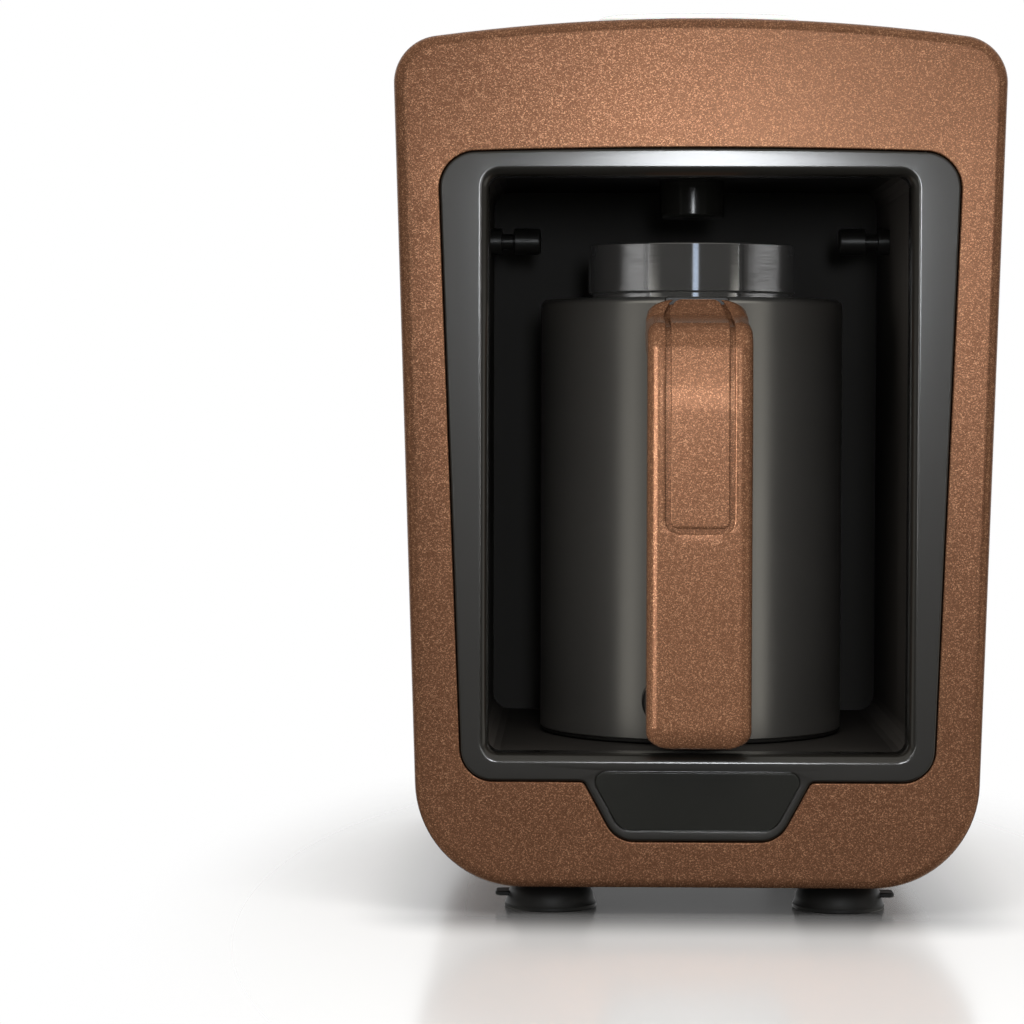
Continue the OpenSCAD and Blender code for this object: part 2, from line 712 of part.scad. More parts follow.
switch_x = 3;
switch_h = 3.4;
module tact_switch() {
    color([0.15, 0.15, 0.15]) union() {
        block(-switch_x, switch_x, button_depth - switch_x, button_depth + switch_x, board_top,
            board_top + switch_h);
        post(0, button_depth, 1.7, board_top + switch_h, stem_z - button_travel - 0.2, 32);
    }
}

led_ring_r = 14;
led_r = 1.5;
led_h = 3.5;
module status_leds() {
    color([0.95, 0.95, 0.85]) for (a = [45:90:315])
        post(led_ring_r * cos(a), button_depth + led_ring_r * sin(a), led_r, board_top,
            board_top + led_h, 24);
}

buzzer_at = [20, button_depth + 20];
buzzer_r = 5.5;
buzzer_h = 7;
module buzzer() {
    color([0.1, 0.1, 0.1]) difference() {
        post(buzzer_at[0], buzzer_at[1], buzzer_r, board_top, board_top + buzzer_h);
        post(buzzer_at[0], buzzer_at[1], 1.2, board_top + buzzer_h - 2, board_top + buzzer_h + 1, 24);
    }
}

chip_w = 11;
chip_t = 1.8;
chip_at = [-26, button_depth + 13];
module controller_chip() {
    color([0.12, 0.12, 0.13])
        block(chip_at[0], chip_at[0] + chip_w, chip_at[1], chip_at[1] + chip_w, board_top,
            board_top + chip_t);
}

// Flat cable from the control board over the chamber and down to the power board
ribbon_t = 1;
ribbon_x = 7;
ribbon_lap = 8;
ribbon_d = board_d - 4;
module ribbon_cable() {
    start = control_d1 - ribbon_lap;
    low = board_z1 - ribbon_lap;
    back = ribbon_d + ribbon_t;
    color([0.7, 0.7, 0.72]) side_slab(-ribbon_x, ribbon_x, [[start, board_top], [ribbon_d, board_top],
        [ribbon_d, low], [board_d, low], [board_d, low + ribbon_t], [back, low + ribbon_t],
        [back, board_top + ribbon_t], [start, board_top + ribbon_t]]);
}

// ---------- power electronics behind the chamber ----------

comp_d = board_d + board_t;
module power_board() {
    color([0.1, 0.35, 0.2]) difference() {
        block(-board_x, board_x, board_d, comp_d, board_z0, board_z1);
        for (p = board_posts) rod(p[0], p[1], board_screw_r + fit, board_d - 1, comp_d + 1);
    }
}

// A box on the power board, at [x, height above the board's lower edge], sized [x, depth, z]
module on_board(at, size) {
    block(at[0], at[0] + size[0], comp_d, comp_d + size[1], board_z0 + at[1], board_z0 + at[1] + size[2]);
}

relay_at = [-34, 30];
relay_size = [18, 15, 28];
module relay() {
    color([0.1, 0.25, 0.5]) on_board(relay_at, relay_size);
}

winding_at = [-6, 34];
winding_size = [26, 18, 28];
ferrite_rim = 4;
module transformer() {
    rim = [ferrite_rim, ferrite_rim];
    color([0.8, 0.6, 0.2]) union() {
        on_board(winding_at, winding_size);
        on_board(winding_at + rim, winding_size + [-2 * ferrite_rim, ferrite_rim, -2 * ferrite_rim]);
    }
}

capacitor_at = [30, 78];
capacitor_r = 6;
capacitor_h = 20;
module capacitor() {
    color([0.15, 0.15, 0.3])
        rod(capacitor_at[0], board_z0 + capacitor_at[1], capacitor_r, comp_d, comp_d + capacitor_h);
}

terminal_at = [12, 6];
terminal_pitch = 8;
terminal_size = [3 * terminal_pitch, 11, 12];
module terminal_block() {
    top = board_z0 + terminal_at[1] + terminal_size[2];
    color([0.2, 0.5, 0.3]) difference() {
        on_board(terminal_at, terminal_size);
        for (i = [0:2]) post(terminal_at[0] + (i + 0.5) * terminal_pitch, comp_d + terminal_size[1] / 2, 2,
            top - 6, top + 1, 32);
    }
}

fuse_at = [-30, 10];
fuse_clip = [4, 7, 6];
fuse_l = 16;
fuse_r = 2.5;
module fuse_holder() {
    color([0.85, 0.85, 0.8]) union() {
        for (x = [0, fuse_clip[0] + fuse_l]) on_board(fuse_at + [x, 0], fuse_clip);
        translate([fuse_at[0] + fuse_clip[0], front_y + comp_d + 4, board_z0 + fuse_at[1] + fuse_clip[2] / 2])
            rotate([0, 90, 0]) cylinder(r = fuse_r, h = fuse_l, $fn = 32);
    }
}

gland_in_d = body_depth - rear_wall - 2;
gland_rim = 1.2;
module cable_gland() {
    color([0.05, 0.05, 0.05]) difference() {
        union() {
            rod(gland_x, gland_z, gland_r, body_depth, body_depth + gland_proud);
            rod(gland_x, gland_z, gland_body_r, gland_in_d, body_depth + 1);
            rod(gland_x, gland_z, gland_body_r + gland_rim, gland_in_d, body_depth - rear_wall - fit);
        }
        rod(gland_x, gland_z, gland_bore / 2, gland_in_d - 1, body_depth + gland_proud + 1, 64);
    }
}

clamp_t = 4;
clamp_h = 10;
module cord_clamp() {
    reach = clamp_span / 2 + 4;
    color([0.3, 0.3, 0.3]) difference() {
        block(gland_x - reach, gland_x + reach, clamp_d - clamp_t, clamp_d,
            gland_z - clamp_h / 2, gland_z + clamp_h / 2);
        for (x = [-clamp_span / 2, clamp_span / 2])
            rod(gland_x + x, gland_z, clamp_screw_r + fit, clamp_d - clamp_t - 1, clamp_d + 1);
        rod(gland_x, gland_z, gland_bore / 2, clamp_d - clamp_t - 1, clamp_d + 1);
    }
}

// ---------- feet and fasteners ----------

foot_pad_r = 6.8;
foot_rim = 1.4;
foot_tab = 2.6;
foot_tab_w = 7;
module foot(x, d) {
    r = foot_dia / 2;
    edge = x < 0 ? [x - r - foot_tab, x - r + 1] : [x + r - 1, x + r + foot_tab];
    color([0.04, 0.04, 0.04]) union() {
        translate([x, front_y + d, 0]) rotate_extrude()
            polygon([[r - foot_rim, 0], [r, 0], [r, foot_rim], [r - 1.2, foot_rim + 0.8],
                [r * 0.6, foot_h * 0.45], [foot_pad_r, foot_h * 0.62], [foot_pad_r, foot_h],
                [foot_bolt_r + fit, foot_h], [foot_bolt_r + fit, foot_h * 0.5], [0, foot_h * 0.5],
                [0, foot_h * 0.32], [r * 0.4, foot_h * 0.25]]);
        block(edge[0], edge[1], d - foot_tab_w / 2, d + foot_tab_w / 2, 0.2, foot_rim);
    }
}

module foot_front_left() { foot(foot_xs[0], foot_ds[0]); }
module foot_front_right() { foot(foot_xs[1], foot_ds[0]); }
module foot_rear_left() { foot(foot_xs[0], foot_ds[1]); }
module foot_rear_right() { foot(foot_xs[1], foot_ds[1]); }

module foot_screws() {
    color([0.6, 0.6, 0.6]) for (x = foot_xs, d = foot_ds) union() {
        post(x, d, foot_bolt_r, foot_h * 0.5 + fit, base_top);
        post(x, d, foot_bolt_r + 2, base_top, base_top + 2);
    }
}

module base_screws() {
    color([0.3, 0.3, 0.3]) for (x = [-liner_post_x, liner_post_x], d = liner_posts_d) union() {
        post(x, d, base_screw_r, body_z + base_head_in - base_head_t, body_z + base_screw_l);
        post(x, d, base_head_r, body_z + base_head_in - base_head_t, body_z + base_head_in);
    }
}

module cover_screws() {
    color([0.3, 0.3, 0.3]) for (z = cover_rows, s = [-1, 1]) union() {
        rod(s * cover_x(z), z, cover_screw_r, shell_d1 - cover_hole_l + 2, body_depth - cover_head_in);
        rod(s * cover_x(z), z, cover_head_r, body_depth - cover_head_in, body_depth - cover_head_in + 1.8);
    }
}

module bezel_screws() {
    back = liner_d0 + bezel_flange_t;
    color([0.6, 0.6, 0.6]) for (p = bezel_screw_at) union() {
        rod(p[0], p[1], bezel_screw_r, bezel_screw_d, back);
        rod(p[0], p[1], bezel_screw_r + 1, back, back + 1.6);
    }
}

module board_screws() {
    head_r = board_screw_r + 1.2;
    head_t = 1.8;
    clamp_back = clamp_d - clamp_t;
    color([0.6, 0.6, 0.6]) union() {
        for (p = board_posts) {
            rod(p[0], p[1], board_screw_r, board_d - board_screw_l, comp_d);
            rod(p[0], p[1], head_r, comp_d, comp_d + head_t);
        }
        for (s = [-1, 1]) {
            post(s * guide_post_x, button_depth, board_screw_r, control_z, control_z + board_screw_l);
            post(s * guide_post_x, button_depth, head_r, control_z - head_t, control_z);
            rod(gland_x + s * clamp_span / 2, gland_z, clamp_screw_r, clamp_back, clamp_d + 5);
            rod(gland_x + s * clamp_span / 2, gland_z, head_r, clamp_back - head_t, clamp_back);
        }
    }
}

// ---------- jug ----------

neck_r = collar_r - 1.2;
skirt_r = jug_r - jug_wall;
edge_r = 2;
cove_r = 6;
window_x = 13.4;
window_in = 14;
window_d = jug_depth + jug_r - window_in;

// Opening at the back of the jug's base, which the connector sits in
module jug_window(z0) {
    block(-window_x, window_x, window_d, jug_depth + jug_r + 2, z0, base_wall_z);
}

module jug_body() {
    outer = arc([jug_r - edge_r, shoulder_z - edge_r], edge_r, 0, 90, 6);
    inner = arc([jug_r - edge_r, shoulder_z - edge_r], edge_r - jug_wall, 90, 0, 6);
    cove = arc([skirt_r - cove_r, pot_z + jug_wall + cove_r], cove_r, 0, -90, 6);
    color([0.62, 0.61, 0.59]) difference() {
        translate([0, jug_y, 0]) rotate_extrude($fn = 128)
            polygon(concat([[skirt_r, jug_z], [jug_r, jug_z]], outer,
                [[neck_r - jug_wall, shoulder_z], [neck_r - jug_wall, shoulder_z - jug_wall]], inner, cove,
                [[0, pot_z + jug_wall], [0, pot_z], [skirt_r, pot_z]]));
        jug_window(jug_z - 1);
    }
}

collar_wall = 1.4;
module jug_collar() {
    bore_r = collar_r - collar_wall;
    color([0.8, 0.8, 0.8]) translate([0, jug_y, 0]) rotate_extrude($fn = 128)
        polygon([[neck_r - jug_wall, shoulder_z], [neck_r, shoulder_z], [neck_r, collar_z],
            [collar_r, collar_z], [collar_r, rim_z - 0.5], [collar_r - 0.3, rim_z], [bore_r + 0.3, rim_z],
            [bore_r, rim_z - 0.6], [bore_r, collar_z + collar_wall], [neck_r - jug_wall, collar_z]]);
}

base_r = skirt_r - 0.4;
base_wall = 2;
base_floor_t = 3;
base_floor_z = jug_foot_z + base_floor_t;
foot_edge_r = jug_r - 0.4;
screw_ring_r = jug_r - 10;
ring_screw_r = 1.6;
ring_screw_l = 10.5;

// Places its children at the three screws that hold the jug's base
module base_ring() {
    for (a = [90, 210, 330]) translate([screw_ring_r * cos(a), jug_y - screw_ring_r * sin(a), jug_foot_z])
        children();
}

module jug_base() {
    color([0.05, 0.05, 0.05]) difference() {
        translate([0, jug_y, 0]) rotate_extrude($fn = 128)
            polygon([[0, jug_foot_z], [foot_edge_r - 0.6, jug_foot_z], [foot_edge_r, jug_foot_z + 0.5],
                [foot_edge_r, jug_z - fit], [base_r, jug_z - fit], [base_r, base_wall_z],
                [base_r - base_wall, base_wall_z], [base_r - base_wall, base_floor_z], [0, base_floor_z]]);
        jug_window(base_floor_z);
        base_ring() translate([0, 0, -1]) cylinder(r = ring_screw_r + fit, h = base_floor_t + 2, $fn = 48);
    }
}

seal_h = 1.6;
module base_seal() {
    color([0.7, 0.2, 0.15]) translate([0, jug_y, base_wall_z]) rotate_extrude($fn = 128)
        translate([base_r - base_wall, 0]) square([base_wall, seal_h]);
}

heat_r = jug_r - 8;
heat_t = 3;
heat_z = pot_z - heat_t;
heat_post_r = 3.2;
module heat_plate() {
    color([0.75, 0.76, 0.78]) union() {
        translate([0, jug_y, heat_z]) cylinder(r = heat_r, h = heat_t);
        base_ring() difference() {
            translate([0, 0, base_floor_t])
                cylinder(r = heat_post_r, h = heat_z + 1 - base_floor_z, $fn = 48);
            cylinder(r = ring_screw_r + fit, h = ring_screw_l + 1.5, $fn = 48);
        }
    }
}

tube_r = 3.2;
tube_in = 14;
tube_ring_r = heat_r - tube_in;
tube_gap = 20;
cold_pin_r = 1.5;
cold_pin_l = 8;
module heating_element() {
    z = heat_z - tube_r;
    ends = [90 + tube_gap / 2, 90 - tube_gap / 2];
    color([0.45, 0.42, 0.4]) translate([0, jug_y, 0]) union() {
        rotate([0, 0, ends[0]]) rotate_extrude(angle = 360 - tube_gap, $fn = 96)
            translate([tube_ring_r, z]) circle(r = tube_r, $fn = 32);
        for (a = ends) rotate([0, 0, a]) translate([tube_ring_r, 0, z - cold_pin_l])
            cylinder(r = cold_pin_r, h = cold_pin_l, $fn = 32);
    }
}

disc_r = 8;
disc_h = 7;
blade_x = 5;
blade_w = 3;
blade_t = 0.8;
blade_h = 6;
module jug_thermostat() {
    disc_z = heat_z - disc_h;
    color([0.85, 0.8, 0.7]) union() {
        translate([0, jug_y, disc_z]) cylinder(r = disc_r, h = disc_h, $fn = 64);
        for (x = [-blade_x, blade_x])
            block(x - blade_w / 2, x + blade_w / 2, jug_depth - blade_t / 2, jug_depth + blade_t / 2,
                disc_z - blade_h, disc_z);
    }
}

connector_x = window_x - 0.4;
connector_d0 = window_d + 1;
connector_d1 = dock_d - 0.5;
socket_r = pin_r + 0.5;
sleeve_r = 2.6;
module jug_connector() {
    color([0.1, 0.1, 0.1]) difference() {
        block(-connector_x, connector_x, connector_d0, connector_d1, base_floor_z + fit, base_wall_z - 0.4);
        for (x = pin_xs) rod(x, pin_z, sleeve_r + fit / 3, connector_d0 - 1, connector_d1 + 1);
    }
}

module jug_contacts() {
    color([0.85, 0.7, 0.35]) for (x = pin_xs) difference() {
        rod(x, pin_z, sleeve_r, connector_d0 - 3, connector_d1 - 0.5);
        rod(x, pin_z, socket_r, connector_d0, connector_d1 + 1);
    }
}

module base_ring_screws() {
    color([0.5, 0.5, 0.5]) base_ring() translate([0, 0, 0.3])
        cylinder(r = ring_screw_r, h = ring_screw_l, $fn = 48);
}

// ---------- handle ----------

handle_low = 2.1;
handle_z = floor_z + handle_low;
handle_top = shoulder_z - handle_drop;
lean_drop = 27.5;
lean_z = handle_top - lean_drop;
lean_back = 1.8;
bend_drop = 7.5;
bend_z = handle_top - bend_drop;
handle_low_r = 6.5;
handle_lean_r = 100;
handle_bend_r = 8;
handle_step_r = 5;
handle_brow_r = 3;
step_out = 7;
step_drop = 4.5;
step_d = wall_d - step_out;
step_z = handle_top - step_drop;
brow_d = wall_d - 2;
cap_d = wall_d - 1.7;
cap_x = 9;
cap_h = 8;
cap_proud = 0.8;

// Offsets an open path to its right hand side by e
function offset_path(pts, e) =
    let (m = len(pts), right = function (a, b) let (u = unit(b - a)) [u[1], -u[0]])
    [for (i = [0:m - 1])
        let (n0 = right(pts[max(i - 1, 0)], pts[max(i, 1)]),
            n1 = right(pts[min(i, m - 2)], pts[min(i + 1, m - 1)]))
        pts[i] + e * (n0 + n1) / (1 + n0 * n1)];

// Front line of the handle, as [depth, z] from its lower end up to the jug's wall
handle_path = [[wall_d - 22, handle_z], [-handle_proud, handle_z], [-handle_proud, lean_z],
    [lean_back - handle_proud, bend_z], [step_d, step_z], [brow_d, handle_top], [wall_d + 8, handle_top]];
function line_radii(e) = [0, handle_low_r - e, handle_lean_r - e, max(handle_bend_r - e, 0),
    handle_step_r + e, max(handle_brow_r - e, 0), 0];
function handle_line(e) = rounded(offset_path(handle_path, e), line_radii(e), 8);

function reversed(pts) = [for (i = [len(pts) - 1:-1:0]) pts[i]];
function handle_band(e0, e1) = concat(handle_line(e0), reversed(handle_line(e1)));

// Seen from the front, the handle is a rounded bar
function handle_outline(g) = rounded(box_pts(-handle_w / 2 + g, handle_z + g, handle_w / 2 - g,
    handle_top - g), [5 - g, 5 - g, 6 - g, 6 - g], 6);

core_w = handle_w - 3;
arm_low_z0 = handle_z + handle_skin + 0.1;
arm_low_z1 = arm_low_z0 + 12;
arm_high_z = handle_top - 27;
bracket_t = 1;
bracket_top_z = [handle_top - 20, handle_top - 6];
bracket_low_z = [arm_low_z0 + 1.5, arm_low_z1 - 1.5];
bracket_angle = 24;
weld = 0.05;
tab_zs = [handle_top - 18.5, arm_low_z0 + 6];
handle_screw_zs = [[arm_high_z, tab_zs[0]], [arm_low_z0, tab_zs[1]]];
tab_x = 6;
tab_t = 1.5;
tab_d0 = wall_d - 11;
handle_screw_d = wall_d - 7;
handle_screw_r = 1.5;
handle_head_r = 2.8;
handle_head_t = 1.6;
pad_out = 0.7;
pad_r = 6;

// Round cut that clears the jug
module jug_cut(r, z0 = 0, z1 = body_top) {
    translate([0, jug_y, z0]) cylinder(r = r, h = z1 - z0, $fn = 128);
}

module handle_bracket() {
    color([0.6, 0.6, 0.6]) difference() {
        union() {
            for (zz = [bracket_top_z, bracket_low_z])
                translate([0, jug_y, zz[0]]) rotate([0, 0, 270 - bracket_angle / 2])
                    rotate_extrude(angle = bracket_angle, $fn = 128)
                        translate([jug_r + weld, 0]) square([bracket_t, zz[1] - zz[0]]);
            for (z = tab_zs) block(-tab_x, tab_x, tab_d0, wall_d - 0.2, z, z + tab_t);
        }
        jug_cut(jug_r + weld);
        for (z = tab_zs) post(0, handle_screw_d, handle_screw_r + fit, z - 1, z + tab_t + 1);
    }
}

module handle_core() {
    inner_d = grip_t - handle_proud;
    arm_d = wall_d + 12;
    inner = [[arm_d, arm_high_z], [inner_d, arm_high_z], [inner_d, arm_low_z1], [arm_d, arm_low_z1],
        [arm_d, arm_low_z0]];
    e = handle_skin + 0.1;
    pts = concat(offset_path(handle_path, e), inner);
    radii = concat(line_radii(e), [0, 8, 6, 0, 0]);
    pad_x = handle_w / 2 + pad_out;
    color([0.06, 0.06, 0.06]) difference() {
        union() {
            side_slab(-core_w / 2, core_w / 2, rounded(pts, radii, 8));
            slab(wall_d - 6, wall_d + 6, rounded(box_pts(-pad_x, arm_low_z0 - 0.2, pad_x, arm_low_z1),
                [for (i = [0:3]) pad_r], 6));
            slab(cap_d, wall_d + 6, rounded(box_pts(-cap_x, handle_top - cap_h, cap_x,
                handle_top + cap_proud), [0, 0, 1, 1], 4));
        }
        jug_cut(jug_r + fit);
        for (zz = [bracket_top_z, bracket_low_z])
            jug_cut(jug_r + bracket_t + weld + fit, zz[0] - fit, zz[1] + fit);
        for (z = tab_zs)
            block(-tab_x - fit, tab_x + fit, tab_d0 - fit, wall_d + 6, z - fit, z + tab_t + fit);
        for (p = handle_screw_zs) {
            post(0, handle_screw_d, handle_screw_r + fit, p[0] - 1, p[1] + 4);
            post(0, handle_screw_d, handle_head_r + fit, p[0] - 1, p[0] + handle_head_t + 0.2);
        }
    }
}

thumb_t = 1.2;
thumb_low = handle_z + thumb_z;
groove = 0.45;
function thumb_outline(g) = rounded(box_pts(-thumb_w / 2 - g, thumb_low - g, thumb_w / 2 + g, handle_top + 4),
    [2.2 + g, 2.2 + g, 0, 0], 5);

module handle_shell() {
    color([0.58, 0.37, 0.25]) difference() {
        intersection() {
            side_slab(-handle_w / 2, handle_w / 2, handle_band(0, handle_wrap));
            slab(-handle_proud - 1, wall_d + 20, handle_outline(0));
        }
        side_slab(-core_w / 2 - 0.1, core_w / 2 + 0.1, handle_band(handle_skin, handle_wrap + 3));
        intersection() {
            side_slab(-handle_w / 2, handle_w / 2, handle_band(-1, thumb_t));
            slab(-handle_proud - 2, wall_d + 20, thumb_outline(groove));
        }
        slab(cap_d - fit, wall_d + 6,
            box_pts(-cap_x - fit, handle_top - cap_h - fit, cap_x + fit, handle_top + 2));
        jug_cut(jug_r + fit);
    }
}

module thumb_panel() {
    color([0.6, 0.39, 0.27]) difference() {
        intersection() {
            side_slab(-handle_w / 2, handle_w / 2, handle_band(0, thumb_t));
            slab(-handle_proud - 2, cap_d - 2 * fit, thumb_outline(0));
            slab(-handle_proud - 2, wall_d + 20, handle_outline(0));
        }
        jug_cut(jug_r + fit);
    }
}

module handle_screws() {
    color([0.5, 0.5, 0.5]) for (p = handle_screw_zs) union() {
        post(0, handle_screw_d, handle_screw_r, p[0] + 0.2, p[1] + 3.5);
        post(0, handle_screw_d, handle_head_r, p[0] + 0.2, p[0] + 0.2 + handle_head_t);
    }
}

outer_shell();
rear_cover();
base_plate();
front_bezel();
badge_plate();
chamber_liner();
chamber_hooks();
sensor_housing();
sensor_lens();
sensor_board();
sensor_wires();
dock_socket();
dock_pins();
dock_wires();
light_ring();
button_guide();
start_button();
button_spring();
control_board();
tact_switch();
status_leds();
buzzer();
controller_chip();
ribbon_cable();
power_board();
relay();
transformer();
capacitor();
terminal_block();
fuse_holder();
cable_gland();
cord_clamp();
foot_front_left();
foot_front_right();
foot_rear_left();
foot_rear_right();
foot_screws();
base_screws();
cover_screws();
bezel_screws();
board_screws();
jug_body();
jug_collar();
jug_base();
base_seal();
heat_plate();
heating_element();
jug_thermostat();
jug_connector();
jug_contacts();
handle_bracket();
handle_core();
handle_shell();
thumb_panel();
handle_screws();
base_ring_screws();
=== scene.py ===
"""Electric Turkish coffee maker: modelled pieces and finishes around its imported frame."""

import json
from math import acos, atan, atan2, cos, pi, radians, sin, sqrt, tan

import bmesh
import bpy
from bpy.props import FloatProperty, FloatVectorProperty, PointerProperty
from mathutils import Matrix, Vector


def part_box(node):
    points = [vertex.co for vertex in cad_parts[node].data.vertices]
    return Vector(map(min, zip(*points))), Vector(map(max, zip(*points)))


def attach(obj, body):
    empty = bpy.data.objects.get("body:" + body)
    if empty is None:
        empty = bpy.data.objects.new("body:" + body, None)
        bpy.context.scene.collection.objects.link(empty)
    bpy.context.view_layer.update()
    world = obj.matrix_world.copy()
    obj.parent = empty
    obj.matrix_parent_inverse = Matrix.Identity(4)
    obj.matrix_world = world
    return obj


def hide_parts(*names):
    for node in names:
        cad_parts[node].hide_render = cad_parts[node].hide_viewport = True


bl_info = {
    "name": "Turkish coffee maker",
    "version": (1, 0, 0),
    "blender": (4, 5, 0),
    "location": "3D View > Sidebar > Coffee Maker",
    "description": "Models and finishes an electric coffee maker with a lift-out jug",
    "category": "Object",
}

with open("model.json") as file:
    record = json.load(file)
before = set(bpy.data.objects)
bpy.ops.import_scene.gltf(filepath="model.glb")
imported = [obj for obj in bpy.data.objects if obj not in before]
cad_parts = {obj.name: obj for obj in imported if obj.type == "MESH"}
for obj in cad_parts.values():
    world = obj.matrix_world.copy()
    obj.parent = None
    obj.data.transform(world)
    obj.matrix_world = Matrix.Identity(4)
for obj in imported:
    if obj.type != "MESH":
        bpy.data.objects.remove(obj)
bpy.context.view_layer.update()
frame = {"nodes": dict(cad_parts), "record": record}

MM = 0.001
FAR = 9                   # farther than anything on the stage, for limits with one end
GAP = 0.3 * MM            # clearance between pieces that move or are set into each other
SHELL_LOW, SHELL_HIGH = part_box("outer_shell")
COVER_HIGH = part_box("rear_cover")[1]
BEZEL_LOW, BEZEL_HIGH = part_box("front_bezel")
JUG_LOW, JUG_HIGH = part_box("jug_body")
FRONT = SHELL_LOW.y       # plane of the front face; depths are measured back from here
JUG_AXIS = Vector(((JUG_LOW.x + JUG_HIGH.x) / 2, (JUG_LOW.y + JUG_HIGH.y) / 2, 0))


# ---------- sizes and colours that a user would change ----------

def length(name, description, millimetres, low=0.0):
    """A size in metres, whose default is written in millimetres."""
    return FloatProperty(name=name, description=description, default=millimetres * MM,
                         min=low * MM, unit="LENGTH", precision=5)


def colour(name, description, red, green, blue):
    """A linear colour."""
    return FloatVectorProperty(name=name, description=description, default=(red, green, blue),
                               size=3, min=0, max=1, subtype="COLOR")


class HousingSizes(bpy.types.PropertyGroup):
    width_low: length("Width at the bottom", "Width where the side lines meet the bottom", 153.9)
    width_high: length("Width at the top", "Width where the side lines meet the top", 168.9)
    crown: length("Crown radius", "Radius of the crown along the top", 550)
    corner_low: length("Bottom corners", "Radius of the two bottom corners", 29.5)
    corner_high: length("Top corners", "Radius of the two top corners", 13)
    roll_in: length("Front roll inwards", "Reach of the soft front edge inwards", 3.2)
    roll_back: length("Front roll backwards", "Reach of the soft front edge backwards", 3.5)
    roll_power: FloatProperty(name="Front roll fullness",
                              description="2 is an ellipse, more is fuller",
                              default=2.3, min=2)
    wall: length("Wall", "Wall of the shell and of the rear cover", 2.6)
    rear_roll: length("Rear roll", "Radius of the rear cover's rolled edge", 7)
    seam: length("Seam", "Rounding of the edges along the joint lines", 0.35)
    vent_width: length("Vent width", "Width of the row of vents", 70)
    vent_height: length("Vent height", "Height of one vent", 3.4)
    vent_pitch: length("Vent pitch", "Distance from one vent to the next", 8)
    vent_top: length("Vent top", "Height of the uppermost vent's lower edge", 196)
    gland_bore: length("Gland bore", "Bore of the cable gland", 7.2)


class BezelSizes(bpy.types.PropertyGroup):
    width_low: length("Width at the bottom", "Width where its sides meet the bottom", 129.6)
    width_high: length("Width at the top", "Width where its sides meet the top", 142.9)
    low: length("Lower edge", "Height of the lower edge beside the badge tab", 37.6)
    high: length("Upper edge", "Height of the upper edge", 211.0)
    crown: length("Crown radius", "Radius of the crown along the upper edge", 2000)
    corner_low: length("Lower corners", "Radius of the lower corners", 9)
    corner_high: length("Upper corners", "Radius of the upper corners", 10)
    collar: length("Collar", "Depth of the collar behind the front face", 8)
    proud: length("Proud", "How far the face stands out from the housing", 0.3)
    lip: length("Lip", "Radius of the lip around the mouth", 2.8)
    mouth_width: length("Mouth width", "Width of the chamber's mouth", 115.2)
    mouth_low: length("Mouth bottom", "Height of the mouth's lower edge", 45.2)
    mouth_high: length("Mouth top", "Height of the mouth's upper edge", 203.5)
    mouth_corner: length("Mouth corners", "Radius of the mouth's corners", 3)
    tab_width: length("Tab width", "Width of the badge tab where it leaves the bezel", 62.2)
    tab_width_low: length("Tab width below", "Width of the badge tab at its lower edge", 44.4)
    tab_drop: length("Tab drop", "Height of the badge tab below the bezel", 16.5)
    tab_corner: length("Tab corners", "Radius of the tab's lower corners", 8.3)
    badge_rim: length("Badge rim", "Rim of the tab below the badge plate", 3)
    badge_side: length("Badge side rim", "Rim of the tab beside the badge plate", 2.65)
    badge_rise: length("Badge rise", "How far the badge plate reaches above the tab", 2.6)
    badge_proud: length("Badge proud", "How far the badge plate stands out", 0.4)


class JugSizes(bpy.types.PropertyGroup):
    shoulder_edge: length("Shoulder edge", "Radius of the shoulder's edge", 2)
    wall: length("Wall", "Wall of the steel", 1)
    collar: length("Collar radius", "Radius of the polished collar", 30.2)
    collar_low: length("Collar bottom", "Height of the collar's lower edge", 173)
    rim: length("Rim", "Height of the rim", 187.2)
    floor: length("Pot floor", "Height of the pot's floor inside", 71.6)
    window_width: length("Window width", "Width of the opening for the connector", 26.8)
    window_top: length("Window top", "Height of the opening's upper edge", 61.6)


class HandleSizes(bpy.types.PropertyGroup):
    width: length("Width", "Width of the handle", 28.6)
    edge: length("Edge", "Radius of the long front edges", 3.2)
    skin: length("Skin", "Thickness of the brown skin", 4.5)
    wrap: length("Wrap", "How far the skin wraps back along the sides", 10)
    grip: length("Grip", "Whole thickness of the grip", 14)
    corner_low: length("Lower corners", "Radius of the lower corners seen from the front", 5)
    corner_high: length("Upper corners", "Radius of the upper corners seen from the front", 6)
    panel_width: length("Panel width", "Width of the thumb panel", 16)
    panel_low: length("Panel end", "Height of the thumb panel's lower end", 107.7)
    panel_corner: length("Panel corners", "Radius of the thumb panel's lower corners", 2.2)
    groove: length("Groove", "Width of the groove round the thumb panel", 1.35)


class ControlSizes(bpy.types.PropertyGroup):
    plate_width: length("Plate width", "Width of the opal plate", 56)
    plate_length: length("Plate length", "Length of the opal plate", 62)
    plate_corner: length("Plate corners", "Radius of the opal plate's corners", 8)
    plate_proud: length("Plate proud", "How far the plate stands above the crown", 2.4)
    plate_depth: length("Plate depth", "Depth of the plate's centre behind the front face", 43)
    button_radius: length("Button radius", "Radius of the start button", 19.7)
    button_dish: length("Button dish", "Depth of the dish in the button's cap", 0.5)


